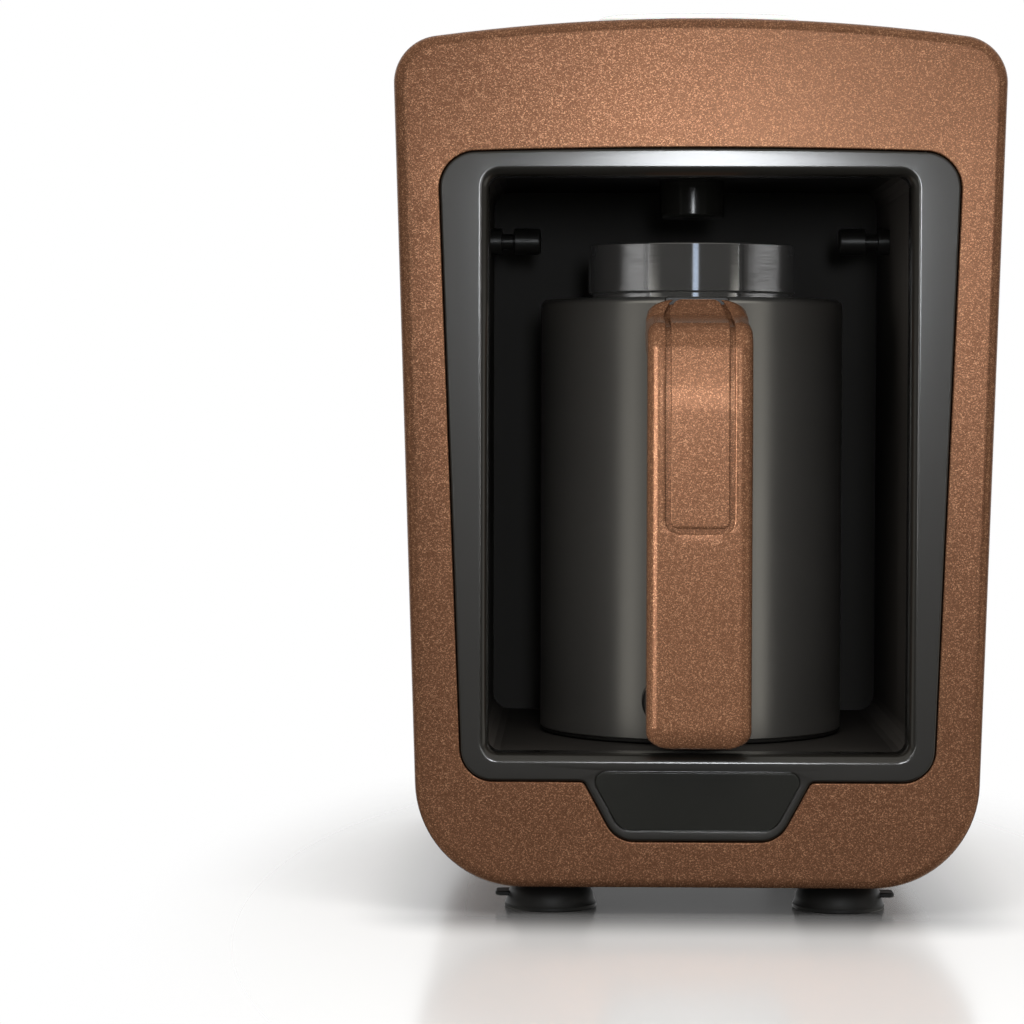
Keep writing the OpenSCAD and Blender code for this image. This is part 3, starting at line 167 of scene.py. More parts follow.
class FinishColours(bpy.types.PropertyGroup):
    copper: colour("Copper paint", "Body colour of the brown paint", 0.163, 0.0745, 0.039)
    fleck: colour("Copper flecks", "Colour of the bright flecks in the paint", 0.58, 0.33, 0.19)
    fleck_size: length("Fleck size", "Size of one fleck in the paint", 0.24)
    graphite: colour("Graphite", "Satin paint of the bezel", 0.0138, 0.0122, 0.0098)
    black: colour("Black plastic", "Moulded black plastic", 0.012, 0.0115, 0.0105)
    chamber: colour("Chamber black", "Dull black inside the chamber", 0.019, 0.017, 0.015)
    badge: colour("Badge plate", "Bare satin badge plate", 0.012, 0.012, 0.010)
    opal: colour("Opal", "Translucent plate and button", 0.86, 0.87, 0.85)
    steel: colour("Satin steel", "Body of the jug", 0.45, 0.44, 0.42)
    polished: colour("Polished steel", "Collar of the jug", 0.60, 0.60, 0.60)
    rubber: colour("Foot rubber", "Suction feet", 0.007, 0.007, 0.0068)
    floor: colour("Floor", "Table under the object", 0.86, 0.85, 0.835)


class StageSizes(bpy.types.PropertyGroup):
    lens: FloatProperty(name="Lens", description="Focal length in millimetres on a 36 mm sensor",
                        default=113.31, min=20)
    camera_x: length("Camera across", "Place of the camera along X", -32, low=-2000)
    camera_y: length("Camera back", "Place of the camera along Y", -975.75, low=-5000)
    camera_z: length("Camera height", "Height of the camera", 145.5)
    lamp_level: FloatProperty(name="Lamps", description="Strength of all the lamps together",
                              default=1.0, min=0)
    sky_level: FloatProperty(name="Room light", description="Even light from all round",
                             default=0.5, min=0)
    card_level: FloatProperty(name="Card level", description="Grey of the studio's side cards",
                              default=0.52, min=0)


class CoffeeMakerSettings(bpy.types.PropertyGroup):
    housing: PointerProperty(type=HousingSizes)
    bezel: PointerProperty(type=BezelSizes)
    jug: PointerProperty(type=JugSizes)
    handle: PointerProperty(type=HandleSizes)
    controls: PointerProperty(type=ControlSizes)
    colours: PointerProperty(type=FinishColours)
    stage: PointerProperty(type=StageSizes)


def settings():
    """The sizes and colours kept with the scene."""
    return bpy.context.scene.coffee_maker


# ---------- outlines, as (x, z) points counter-clockwise seen from the front ----------

def arc(x, z, r, start, end, steps):
    """Points along a circle, with angles in degrees."""
    angles = [radians(start + (end - start) * i / steps) for i in range(steps + 1)]
    return [(x + r * cos(a), z + r * sin(a)) for a in angles]


def rounded(corners, radii, steps=8):
    """A closed polygon with each corner rounded to its own radius."""
    points = []
    for i, (corner, r) in enumerate(zip(corners, radii)):
        p = Vector(corner)
        if r <= 0:
            points.append(tuple(p))
            continue
        u = (Vector(corners[i - 1]) - p).normalized()
        v = (Vector(corners[(i + 1) % len(corners)]) - p).normalized()
        half = acos(max(-1.0, min(1.0, u.dot(v)))) / 2
        centre = p + (u + v).normalized() * (r / sin(half))
        first = p + u * (r / tan(half)) - centre
        turn = (1 if v.x * u.y - v.y * u.x > 0 else -1) * (pi - 2 * half)
        start = atan2(first.y, first.x)
        points += [(centre.x + r * cos(start + turn * k / steps),
                    centre.y + r * sin(start + turn * k / steps)) for k in range(steps + 1)]
    return points


def oblong(x0, z0, x1, z1, r, steps=8):
    """A rectangle with its four corners rounded alike."""
    return rounded([(x0, z0), (x1, z0), (x1, z1), (x0, z1)], [r] * 4, steps)


def crowned(z0, z1, low, high, r_low, r_high, crown, inset, steps):
    """Tapered outline with a crowned top. low and high are the half widths where the side
    lines meet z0 and z1, and inset is how far the outline is set in."""
    t = (high - low) / (z1 - z0)
    a = atan(t)
    zk, q = z1 - crown, crown - r_high
    s0 = low - z0 * t - r_high / cos(a)
    qa, qb, qc = 1 + t * t, 2 * (s0 * t - zk), s0 * s0 + zk * zk - q * q
    zc = (-qb + sqrt(qb * qb - 4 * qa * qc)) / (2 * qa)
    xc = s0 + zc * t
    xb, zb = low + r_low * t - r_low / cos(a), z0 + r_low
    lean = a * 180 / pi
    phi = atan2(zc - zk, xc) * 180 / pi
    return (arc(xb, zb, r_low - inset, -90, -lean, steps)
            + arc(xc, zc, r_high - inset, -lean, phi, steps)
            + arc(0, zk, crown - inset, phi, 180 - phi, steps)[1:-1]
            + arc(-xc, zc, r_high - inset, 180 - phi, 180 + lean, steps)
            + arc(-xb, zb, r_low - inset, 180 + lean, 270, steps))


def grown(points, growth):
    """The closed outline moved outwards by growth."""
    moved = []
    for i, point in enumerate(points):
        before, here = Vector(points[i - 1]), Vector(point)
        after = Vector(points[(i + 1) % len(points)])
        one, two = (here - before).normalized(), (after - here).normalized()
        n = Vector((one.y + two.y, -one.x - two.x))
        moved.append(tuple(here + n * (growth / (1 + one.dot(two)))))
    return moved


def denser(points, longest):
    """The closed outline with its long sides divided."""
    more = []
    for i, point in enumerate(points):
        a, b = Vector(point), Vector(points[(i + 1) % len(points)])
        parts = max(1, int((b - a).length / longest + 0.999))
        more += [tuple(a.lerp(b, k / parts)) for k in range(parts)]
    return more


def quarter(steps):
    """Sine and cosine from 0 to 90 degrees."""
    return [(sin(pi / 2 * k / steps), cos(pi / 2 * k / steps)) for k in range(steps + 1)]


def soft_roll(reach, back, power, steps):
    """Inset and depth along a full, soft edge, from the face to the side."""
    return [(reach * (1 - s ** (2 / power)), back * (1 - c ** (2 / power)))
            for s, c in quarter(steps)]


def at(depth, outline):
    """An outline as points at a depth behind the front face."""
    return [(x, FRONT + depth, z) for x, z in outline]


def level(z, outline):
    """A plan outline, as (x, depth) points, at a height."""
    return [(x, FRONT + depth, z) for x, depth in outline]


# ---------- ways of making a piece ----------

class Skin:
    """One mesh made of rings of points that are bridged, filled and turned."""

    def __init__(self):
        self.mesh = bmesh.new()

    def ring(self, points):
        """Adds a closed ring of points."""
        verts = [self.mesh.verts.new(p) for p in points]
        for a, b in zip(verts, verts[1:] + verts[:1]):
            self.mesh.edges.new((a, b))
        return verts

    def bridge(self, *rings):
        """Joins each ring to the next with a band of faces."""
        for first, second in zip(rings, rings[1:]):
            for i in range(len(first)):
                j = (i + 1) % len(first)
                self.mesh.faces.new((first[i], first[j], second[j], second[i]))

    def fill(self, *rings):
        """Closes the ground inside the first ring and outside the others."""
        if len(rings) == 1:
            self.mesh.faces.new(rings[0])
            return
        edges = [self.mesh.edges.get((a, b)) for ring in rings
                 for a, b in zip(ring, ring[1:] + ring[:1])]
        bmesh.ops.triangle_fill(self.mesh, use_beauty=True, edges=edges)

    def loft(self, outlines):
        """A closed solid through rings of equal length."""
        rings = [self.ring(points) for points in outlines]
        self.bridge(*rings)
        self.fill(rings[0])
        self.fill(rings[-1])
        return rings

    def turn(self, profile, place, steps=96, closed=False):
        """Turns (radius, height) points about an axis. place maps (x, y, height) to the frame."""
        rings = []
        for r, h in profile:
            around = [2 * pi * k / steps for k in range(steps)] if r > 1e-7 else [0]
            rings.append([self.mesh.verts.new(place(r * cos(a), r * sin(a), h)) for a in around])
        pairs = list(zip(rings, rings[1:])) + ([(rings[-1], rings[0])] if closed else [])
        for one, two in pairs:
            for k in range(steps):
                m = (k + 1) % steps
                corners = [one[k % len(one)], one[m % len(one)],
                           two[m % len(two)], two[k % len(two)]]
                face = [v for n, v in enumerate(corners) if v is not corners[n - 1]]
                if len(face) > 2:
                    self.mesh.faces.new(face)


def upright(x, depth):
    """Places a turned shape on an upright axis."""
    return lambda u, v, h: (x + u, FRONT + depth + v, h)


def lying(x, z):
    """Places a turned shape on an axis that runs back from the front face."""
    return lambda u, v, h: (x + u, FRONT + h, z + v)


def sideways(depth, z, side=1):
    """Places a turned shape on an axis along X."""
    return lambda u, v, h: (side * h, FRONT + depth + u, z + v)


def solid(skin, name):
    """The skin as a plain object."""
    bmesh.ops.recalc_face_normals(skin.mesh, faces=skin.mesh.faces)
    mesh = bpy.data.meshes.new(name)
    skin.mesh.to_mesh(mesh)
    skin.mesh.free()
    made = bpy.data.objects.new(name, mesh)
    bpy.context.scene.collection.objects.link(made)
    return made


def cut(piece, *cutters):
    """Takes the cutters away from the piece, and removes them."""
    for cutter in cutters:
        tool = piece.modifiers.new("Cut", "BOOLEAN")
        tool.operation = "DIFFERENCE"
        tool.solver = "EXACT"
        tool.object = cutter
        bpy.context.view_layer.update()
        whole = piece.evaluated_get(bpy.context.evaluated_depsgraph_get())
        mesh = bpy.data.meshes.new_from_object(whole)
        piece.modifiers.clear()
        if not mesh.polygons:
            raise RuntimeError("The cut left nothing of " + piece.name)
        piece.data = mesh
        bpy.data.objects.remove(cutter)


def finished(piece, body, slot, *replaced, sharp=32, finish=None):
    """Smooths a piece, gives it its finish and mounts it on its body. sharp is the angle in
    degrees from which an edge stays crisp."""
    mesh = piece.data
    mesh.materials.clear()
    mesh.materials.append(finish or finishes()[slot])
    for face in mesh.polygons:
        face.use_smooth = True
        face.material_index = 0
    mesh.set_sharp_from_angle(angle=radians(sharp))
    even = piece.modifiers.new("Even shading", "WEIGHTED_NORMAL")
    even.keep_sharp = True
    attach(piece, body)
    if replaced:
        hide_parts(*replaced)
    return piece


# ---------- finishes ----------

class Wire:
    """A value that comes out of a node, so that shader maths reads as expressions."""

    def __init__(self, finish, socket):
        self.finish, self.socket = finish, socket

    def maths(self, operation, *values):
        """One Math node."""
        return self.finish.node("ShaderNodeMath", {"operation": operation}, dict(enumerate(values)))

    def __add__(self, other):
        return self.maths("ADD", self, other)

    def __sub__(self, other):
        return self.maths("SUBTRACT", self, other)

    def __rsub__(self, other):
        return self.maths("SUBTRACT", other, self)

    def __mul__(self, other):
        return self.maths("MULTIPLY", self, other)

    def __truediv__(self, other):
        return self.maths("DIVIDE", self, other)

    def __pow__(self, other):
        return self.maths("POWER", self, other)

    def __gt__(self, other):
        return self.maths("GREATER_THAN", self, other)

    def __abs__(self):
        return self.maths("ABSOLUTE", self)

    __radd__, __rmul__ = __add__, __mul__

    def held(self, low, high):
        """The value kept between two limits."""
        return self.maths("MAXIMUM", self.maths("MINIMUM", self, high), low)


class Finish:
    """A material, or the world, whose nodes are added one call at a time."""

    def __init__(self, name, owner=None):
        self.material = owner or bpy.data.materials.new(name)
        self.material.use_nodes = True
        self.tree = self.material.node_tree
        self.tree.nodes.clear()
        self.place = self.node("ShaderNodeTexCoord", out="Object")

    def node(self, kind, chosen=None, inputs=None, out=0):
        """Adds a node, sets what is chosen on it, then gives its sockets values or links."""
        made = self.tree.nodes.new(kind)
        for key, value in (chosen or {}).items():
            setattr(made, key, value)
        for key, value in (inputs or {}).items():
            socket = made.inputs[key]
            if isinstance(value, Wire):
                self.tree.links.new(value.socket, socket)
            elif hasattr(value, "__len__") and socket.type == "RGBA":
                socket.default_value = (*value, 1)
            else:
                socket.default_value = value
        return Wire(self, made.outputs[out]) if len(made.outputs) else made

    def noise(self, size, detail=3.0, roughness=0.5, where=None):
        """Cloudy noise whose largest clouds have about this size."""
        return self.node("ShaderNodeTexNoise", None, {
            "Vector": where or self.place, "Scale": 1 / size, "Detail": detail,
            "Roughness": roughness}, "Fac")

    def cells(self, size, out="Distance", feature="F1"):
        """Random cells of about this size."""
        return self.node("ShaderNodeTexVoronoi", {"feature": feature},
                         {"Vector": self.place, "Scale": 1 / size}, out)

    def mix(self, share, one, two):
        """Blends two colours by a share."""
        return self.node("ShaderNodeMix", {"data_type": "RGBA"}, {0: share, 6: one, 7: two}, 2)

    def vector(self, operation, *values):
        """One Vector Math node."""
        return self.node("ShaderNodeVectorMath", {"operation": operation}, dict(enumerate(values)))

    def outputs(self, value, names):
        """Several outputs of the node that a value comes from."""
        return [Wire(self, value.socket.node.outputs[name]) for name in names]

    def split(self, value):
        """X, Y and Z of a vector."""
        return self.outputs(self.node("ShaderNodeSeparateXYZ", None, {0: value}), "XYZ")

    def join(self, x, y, z):
        """A vector from three values."""
        return self.node("ShaderNodeCombineXYZ", None, {0: x, 1: y, 2: z})

    def bump(self, height, depth):
        """A normal that follows a height of this depth."""
        return self.node("ShaderNodeBump", None, {"Height": height, "Distance": depth})

    def surface(self, **sockets):
        """Ends the finish with one shader, whose sockets are named as words."""
        names = {key: key.replace("_", " ").title().replace("Ior", "IOR") for key in sockets}
        inputs = {names[key]: value for key, value in sockets.items()}
        shader = self.node("ShaderNodeBsdfPrincipled", None, inputs)
        self.node("ShaderNodeOutputMaterial", None, {"Surface": shader})
        return self.material


def shade(tone, factor):
    """A colour made darker or lighter, at most white in each channel."""
    return tuple(min(1.0, factor * channel) for channel in tone)


def past_edge(beside, behind):
    """Distance past a rectangle's edge, negative inside it, from the distances past its sides."""
    outside = (beside.held(0, FAR) ** 2 + behind.held(0, FAR) ** 2) ** 0.5
    return outside + beside.maths("MAXIMUM", beside, behind).held(-FAR, 0)


def fleck_paint(name, body, fleck, size):
    """Metallic paint: random flakes that differ in tone and lie at slightly different tilts."""
    f = Finish(name)
    most_tilt, bright_from = 0.045, 0.72
    flakes = f.cells(size, out="Color")
    chance, lift, _ = f.split(flakes)
    cloud = f.noise(30 * MM, 3, 0.6)
    ground = f.mix((chance + cloud * 0.3 - 0.08).held(0, 1), shade(body, 0.56), body)
    bright = ((chance - bright_from) * 3.5).held(0, 1) * (0.15 + lift * 0.4)
    base = f.mix(bright, ground, fleck)
    tilt = f.vector("MULTIPLY", f.vector("SUBTRACT", flakes, (0.5, 0.5, 0.5)), (most_tilt,) * 3)
    facing = f.node("ShaderNodeNewGeometry", out="Normal")
    leaning = f.vector("NORMALIZE", f.vector("ADD", facing, tilt))
    return f.surface(base_color=base, metallic=0.41, roughness=0.235 + lift * 0.03,
                     normal=leaning, specular_ior_level=0.06)


def moulded(name, tone, roughness, grain=0.35, depth=0.015, metallic=0.0, shift=0.25, coat=0.0,
            gloss=0.5):
    """Moulded plastic or rubber with a fine grain and slow changes of gloss."""
    f = Finish(name)
    cloud = f.noise(24 * MM, 4, 0.6)
    fine = f.noise(grain * MM, 2, 0.55)
    base = f.mix((cloud * 0.7 + fine * 0.3).held(0, 1),
                 shade(tone, 1 - shift), shade(tone, 1 + shift))
    return f.surface(base_color=base, metallic=metallic,
                     roughness=(roughness - 0.05 + cloud * 0.06 + fine * 0.05).held(0.03, 1),
                     normal=f.bump(fine, depth * MM), coat_weight=coat, coat_roughness=0.14,
                     specular_ior_level=gloss)


def chamber_wall(name, tone):
    """Dull black with painted light: paler on the side walls, which get the least light."""
    f = Finish(name)
    across = abs(f.split(f.node("ShaderNodeTexCoord", out="Normal"))[0])
    cloud = f.noise(24 * MM, 4, 0.6)
    fine = f.noise(0.6 * MM, 2, 0.55)
    # painted light: the paler black goes on the walls that face sideways, which get the least light
    base = f.mix((across * 0.9 + (cloud + fine) * 0.08).held(0, 1), tone, shade(tone, 3.5))
    return f.surface(base_color=base, roughness=0.48 + cloud * 0.08 + fine * 0.05,
                     normal=f.bump(fine, 0.01 * MM), specular_ior_level=0.2)


def around_axis(f, centre):
    """Angle, radius and height about an upright axis, as wires."""
    x, y, z = f.split(f.vector("SUBTRACT", f.place, tuple(centre)))
    return x.maths("ARCTAN2", x, y), (x * x + y * y) ** 0.5, z


def turned_steel(name, tone, roughness, brush, depth, metallic, streak=0.12):
    """Steel brushed round the jug's axis."""
    f = Finish(name)
    angle, radius, z = around_axis(f, JUG_AXIS)
    lines = f.noise(brush * MM, 3, 0.6, f.join(angle * (1.5 * MM), radius, z))
    broad = f.noise(9 * MM, 3, 0.5, f.join(angle * (12 * MM), radius * 0.3, z))
    base = f.mix((lines * 0.6 + broad * 0.4).held(0, 1), shade(tone, 1 - streak), tone)
    uneven = (lines - 0.5) * 0.12 + (broad - 0.5) * 0.05
    return f.surface(base_color=base, metallic=metallic,
                     roughness=(roughness + uneven).held(0.02, 1),
                     normal=f.bump(lines, depth * MM))


def plain_metal(name, tone, roughness, grain=0.4, depth=0.01):
    """Plated, rolled or cast metal with fine grain and slight stains."""
    f = Finish(name)
    fine = f.noise(grain * MM, 3, 0.6)
    stain = f.noise(7 * MM, 4, 0.6)
    base = f.mix((stain * 0.8 + fine * 0.2).held(0, 1), shade(tone, 0.78), tone)
    return f.surface(base_color=base, metallic=1.0,
                     roughness=(roughness - 0.08 + stain * 0.16).held(0.03, 1),
                     normal=f.bump(fine, depth * MM))


def circuit_board(name, tone):
    """Green board with lighter copper tracks under the solder resist."""
    f = Finish(name)
    edges = f.cells(5.5 * MM, feature="DISTANCE_TO_EDGE")
    track = 1 - (edges * 14).held(0, 1)
    weave = f.noise(0.8 * MM, 2)
    light = tuple(min(1.0, 1.9 * c + 0.02) for c in tone)
    base = f.mix((track * 0.75 + weave * 0.2).held(0, 1), tone, light)
    return f.surface(base_color=base, roughness=0.28 + weave * 0.12,
                     normal=f.bump(track + weave * 0.2, 0.05 * MM))


def opal(name, tone):
    """Milky plastic with a soft gloss, and a thin grey line of painted shade along the plate's
    rounded edge.
    """
    f = Finish(name)
    c = settings().controls
    r, inwards, fade, painted_rim_shade = c.plate_corner, 1.0 * MM, 0.35 * MM, (0.09, 0.09, 0.085)
    x, y, _ = f.split(f.place)
    beside = abs(x) - (c.plate_width / 2 - r)
    behind = abs(y - (FRONT + c.plate_depth)) - (c.plate_length / 2 - r)
    # painted shade: a thin grey line on the rounded edge, about 1 mm in from the plate's outline
    line = (1.6 - abs(past_edge(beside, behind) - (r - inwards)) / fade).held(0, 1)
    cloud = f.noise(11 * MM, 3, 0.5)
    fine = f.noise(0.5 * MM, 2)
    base = f.mix(line * 0.95, f.mix(cloud, shade(tone, 0.95), tone), painted_rim_shade)
    return f.surface(base_color=base, roughness=0.24 + fine * 0.08, subsurface_weight=0.25,
                     subsurface_scale=2.5 * MM, normal=f.bump(fine, 0.006 * MM), coat_weight=0.2)


def lens(name):
    """Dark red window that the sensor looks through."""
    f = Finish(name)
    cloud = f.noise(2 * MM, 2)
    base = f.mix(cloud, (0.16, 0.012, 0.01), (0.26, 0.03, 0.02))
    return f.surface(base_color=base, roughness=0.06 + cloud * 0.04, transmission_weight=0.35)


FINISHES = {}
OWN_FINISH = {"chamber_liner": "chamber_black"}   # nodes that look duller than their slot


def finishes():
    """Every slot of the record with its finish, made once."""
    if FINISHES:
        return FINISHES
    c = settings().colours
    FINISHES.update({
        "copper_paint": fleck_paint("Copper fleck paint", c.copper, c.fleck, c.fleck_size),
        "black_plastic": moulded("Black moulding", c.black, 0.36, grain=0.5, depth=0.012),
        "bezel_satin": moulded("Graphite satin", c.graphite, 0.38, grain=0.42, depth=0.012,
                               metallic=0.45, shift=0.12, coat=1.0, gloss=0.6),
        "chamber_black": chamber_wall("Chamber black", c.chamber),
        "badge_black": moulded("Badge satin black", c.badge, 0.20, grain=0.3, depth=0.008,
                               shift=0.1),
        "opal_plastic": opal("Opal plastic", c.opal),
        "satin_steel": turned_steel("Satin steel", c.steel, 0.32, 0.16, 0.006, 0.93),
        "polished_steel": turned_steel("Polished steel", c.polished, 0.09, 0.3, 0.001, 0.95, 0.05),
        "zinc_steel": plain_metal("Zinc plate", (0.52, 0.52, 0.54), 0.32),
        "contact_brass": plain_metal("Contact brass", (0.72, 0.52, 0.21), 0.24),
        "cast_aluminium": plain_metal("Cast aluminium", (0.60, 0.61, 0.63), 0.45, 0.7, 0.04),
        "foot_rubber": moulded("Foot rubber", c.rubber, 0.50, grain=0.4, depth=0.02),
        "silicone": moulded("Silicone", (0.50, 0.12, 0.08), 0.52, grain=0.6, depth=0.01),
        "lens_plastic": lens("Red window"),
        "board_green": circuit_board("Circuit board", (0.05, 0.22, 0.10)),
        "component_black": moulded("Component black", (0.03, 0.03, 0.031), 0.45),
        "component_blue": moulded("Relay case", (0.05, 0.15, 0.40), 0.34),
        "component_yellow": moulded("Winding tape", (0.70, 0.50, 0.10), 0.40, grain=1.2,
                                    depth=0.05),
        "component_green": moulded("Terminal moulding", (0.10, 0.35, 0.15), 0.40),
        "ceramic_white": moulded("Glazed ceramic", (0.80, 0.78, 0.72), 0.22, shift=0.06,
                                 coat=0.3),
        "wire_skin": moulded("Wire skin", (0.60, 0.55, 0.50), 0.45, grain=0.8, shift=0.1),
    })
    return FINISHES


# ---------- outlines of this coffee maker ----------

def body_outline(inset):
    """The housing seen from the front, set in."""
    h = settings().housing
    return crowned(SHELL_LOW.z, SHELL_HIGH.z, h.width_low / 2, h.width_high / 2, h.corner_low,
                   h.corner_high, h.crown, inset, 20)


def side_x(z):
    """Half width of the housing at a height."""
    h = settings().housing
    share = (z - SHELL_LOW.z) / (SHELL_HIGH.z - SHELL_LOW.z)
    return (h.width_low + (h.width_high - h.width_low) * share) / 2


def crown_z(x, lift=0.0):
    """Height of the crown at a place across, or of a surface above it."""
    r = settings().housing.crown + lift
    return SHELL_HIGH.z - settings().housing.crown + sqrt(r * r - x * x)


def tab_slope():
    """How far the badge tab's sides lean for each unit of height."""
    b = settings().bezel
    return (b.tab_width - b.tab_width_low) / 2 / b.tab_drop


def bezel_outline():
    """The bezel's outer edge, with the badge tab hanging from it."""
    b = settings().bezel
    root = 2.2 * MM
    ring = crowned(b.low, b.high, b.width_low / 2, b.width_high / 2, b.corner_low,
                   b.corner_high, b.crown, 0, 12)
    (x_end, z_end), low = ring[-1], b.low - b.tab_drop
    wide, narrow = b.tab_width / 2, b.tab_width_low / 2
    tab = rounded([(x_end, z_end), (-wide, z_end), (-narrow, low), (narrow, low), (wide, z_end),
                   (-x_end, z_end)], [0, root, b.tab_corner, b.tab_corner, root, 0], 10)
    return ring + tab[1:-1]


def mouth_outline(inset):
    """The chamber's mouth, set in."""
    b = settings().bezel
    half = b.mouth_width / 2 - inset
    return oblong(-half, b.mouth_low + inset, half, b.mouth_high - inset, b.mouth_corner - inset)


def badge_outline():
    """The badge plate, whose sides run along the tab's."""
    b = settings().bezel
    slope, low, high = tab_slope(), b.low - b.tab_drop + b.badge_rim, b.low + b.badge_rise
    narrow = b.tab_width_low / 2 + b.badge_rim * slope - b.badge_side
    wide = narrow + (high - low) * slope
    r_low, r_high = 5.2 * MM, 2.8 * MM
    return rounded([(-narrow, low), (narrow, low), (wide, high), (-wide, high)],
                   [r_low, r_low, r_high, r_high], 10)


# ---------- pieces ----------

PLATE_HOLE = (0.236, 0.26)     # heights between which the shell is opened for the opal plate
SCREW_HEAD = 3 * MM            # radius of the rear cover's screw heads
SCREW_IN = 13 * MM             # distance of those screws from the housing's side
WELL = 3.4 * MM                # depth of the wells that they sit in


def brown_shell():
    """The painted housing, open at the back, with its mouth, plate hole and base hole."""
    h = settings().housing
    rear = SHELL_HIGH.y - FRONT
    s = Skin()
    outer = [s.ring(at(d, body_outline(e)))
             for e, d in soft_roll(h.roll_in, h.roll_back, h.roll_power, 14)]
    outer += [s.ring(at(rear - h.seam, body_outline(0))), s.ring(at(rear, body_outline(h.seam)))]
    reach, back = h.roll_in - h.wall, h.roll_back - h.wall
    inner = [s.ring(at(h.wall + d, body_outline(h.wall + e)))
             for e, d in soft_roll(reach, back, h.roll_power, 8)]
    inner.append(s.ring(at(rear, body_outline(h.wall))))
    s.bridge(*outer, *reversed(inner))
    hole = bezel_outline()
    edge = 0.45 * MM
    mouth = [s.ring(at(d, grown(hole, g))) for d, g in
             ((0, GAP + edge), (0.3 * edge, GAP + 0.3 * edge), (edge, GAP), (h.wall, GAP))]
    s.bridge(*mouth)
    s.fill(outer[0], mouth[0])
    s.fill(inner[0], mouth[-1])
    shell = solid(s, "brown_shell")
    cut(shell, plate_block("plate_hole", GAP, *PLATE_HOLE), base_block())
    return finished(shell, "housing", "copper_paint", "outer_shell")


def plate_block(name, growth, low, high):
    """An upright block with the opal plate's outline."""
    s = Skin()
    outline = plate_outline(growth)
    s.loft([level(low, outline), level(high, outline)])
    return solid(s, name)


def base_block():
    """The opening in the shell's bottom that the base plate sits in."""
    low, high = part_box("base_plate")
    flange, under, over = 3.2 * MM - GAP, 2 * MM, 4 * MM
    s = Skin()
    x, y0, y1 = high.x - flange, low.y + flange - FRONT, high.y - flange - FRONT
    plan = [(-x, y0), (x, y0), (x, y1), (-x, y1)]
    s.loft([level(low.z - under, plan), level(low.z + over, plan)])
    return solid(s, "base_hole")


def rear_housing():
    """The rear cover, with its vents, the gland's hole and the wells of its screws."""
    h = settings().housing
    seam, vents_n, gland_r, well_r = 0.15 * MM, 7, 6.2 * MM, 3.3 * MM
    start, depth = SHELL_HIGH.y - FRONT + seam, COVER_HIGH.y - FRONT
    s = Skin()
    outer = [s.ring(at(start, body_outline(h.seam))), s.ring(at(start + h.seam, body_outline(0)))]
    outer += [s.ring(at(depth - h.rear_roll * (1 - v), body_outline(h.rear_roll * (1 - c))))
              for v, c in quarter(10)]
    r = h.rear_roll - h.wall
    inner = [s.ring(at(start, body_outline(h.wall)))]
    inner += [s.ring(at(depth - h.rear_roll + r * v, body_outline(h.rear_roll - r * c)))
              for v, c in quarter(6)]
    s.bridge(*reversed(outer), *inner)
    half = h.vent_width / 2
    vents = [oblong(-half, z, half, z + h.vent_height, 1.2 * MM, 4)
             for z in (h.vent_top - i * h.vent_pitch for i in range(vents_n))]
    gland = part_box("cable_gland")
    middle = (gland[0] + gland[1]) / 2
    vents.append(arc(middle.x, middle.z, gland_r, 0, 354, 59))
    through = []
    for outline in vents:
        edge = 0.4 * MM
        rings = [s.ring(at(d, grown(outline, g))) for d, g in
                 ((depth, edge), (depth - 0.3 * edge, 0.3 * edge), (depth - edge, 0),
                  (depth - h.wall, 0))]
        s.bridge(*rings)
        through.append(rings)
    wells = []
    for x, z in cover_screws():
        rings = [s.ring(at(d, arc(x, z, r, 0, 352, 44))) for d, r in
                 ((depth, well_r + 0.4 * MM), (depth - 0.4 * MM, well_r), (depth - WELL, well_r))]
        s.bridge(*rings)
        s.fill(rings[-1])
        wells.append(rings)
    s.fill(outer[-1], *[rings[0] for rings in through + wells])
    s.fill(inner[-1], *[rings[-1] for rings in through])
    return finished(solid(s, "rear_housing"), "housing", "black_plastic", "rear_cover")


def cover_screws():
    """Places of the four screws of the rear cover."""
    low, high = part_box("cover_screws")
    rows = (low.z + SCREW_HEAD, high.z - SCREW_HEAD)
    return [(side * (side_x(z) - SCREW_IN), z) for z in rows for side in (-1, 1)]


def screw_heads():
    """Pan heads with a cross recess, in the wells of the rear cover."""
    made = Skin()
    depth = COVER_HIGH.y - FRONT - WELL
    tall, r, shank, tip = 1.8 * MM, SCREW_HEAD, 1.5 * MM, 14 * MM
    for x, z in cover_screws():
        made.turn([(0, depth - tip - 0.5 * MM), (shank, depth - tip), (shank, depth), (r, depth),
                   (r, depth + 0.5 * tall), (0.86 * r, depth + 0.85 * tall),
                   (0.55 * r, depth + tall), (0, depth + tall)], lying(x, z), 40)
    heads = solid(made, "cover_screw_heads")
    arm, thick, bottom = 1.7 * MM, 0.35 * MM, 0.6 * MM
    for wide, high in ((arm, thick), (thick, arm)):
        slot = Skin()
        for x, z in cover_screws():
            outline = [(x - wide, z - high), (x + wide, z - high),
                       (x + wide, z + high), (x - wide, z + high)]
            slot.loft([at(depth + bottom, outline), at(depth + 3 * MM, outline)])
        cut(heads, solid(slot, "recess_slot"))
    return finished(heads, "housing", "zinc_steel", "cover_screws")


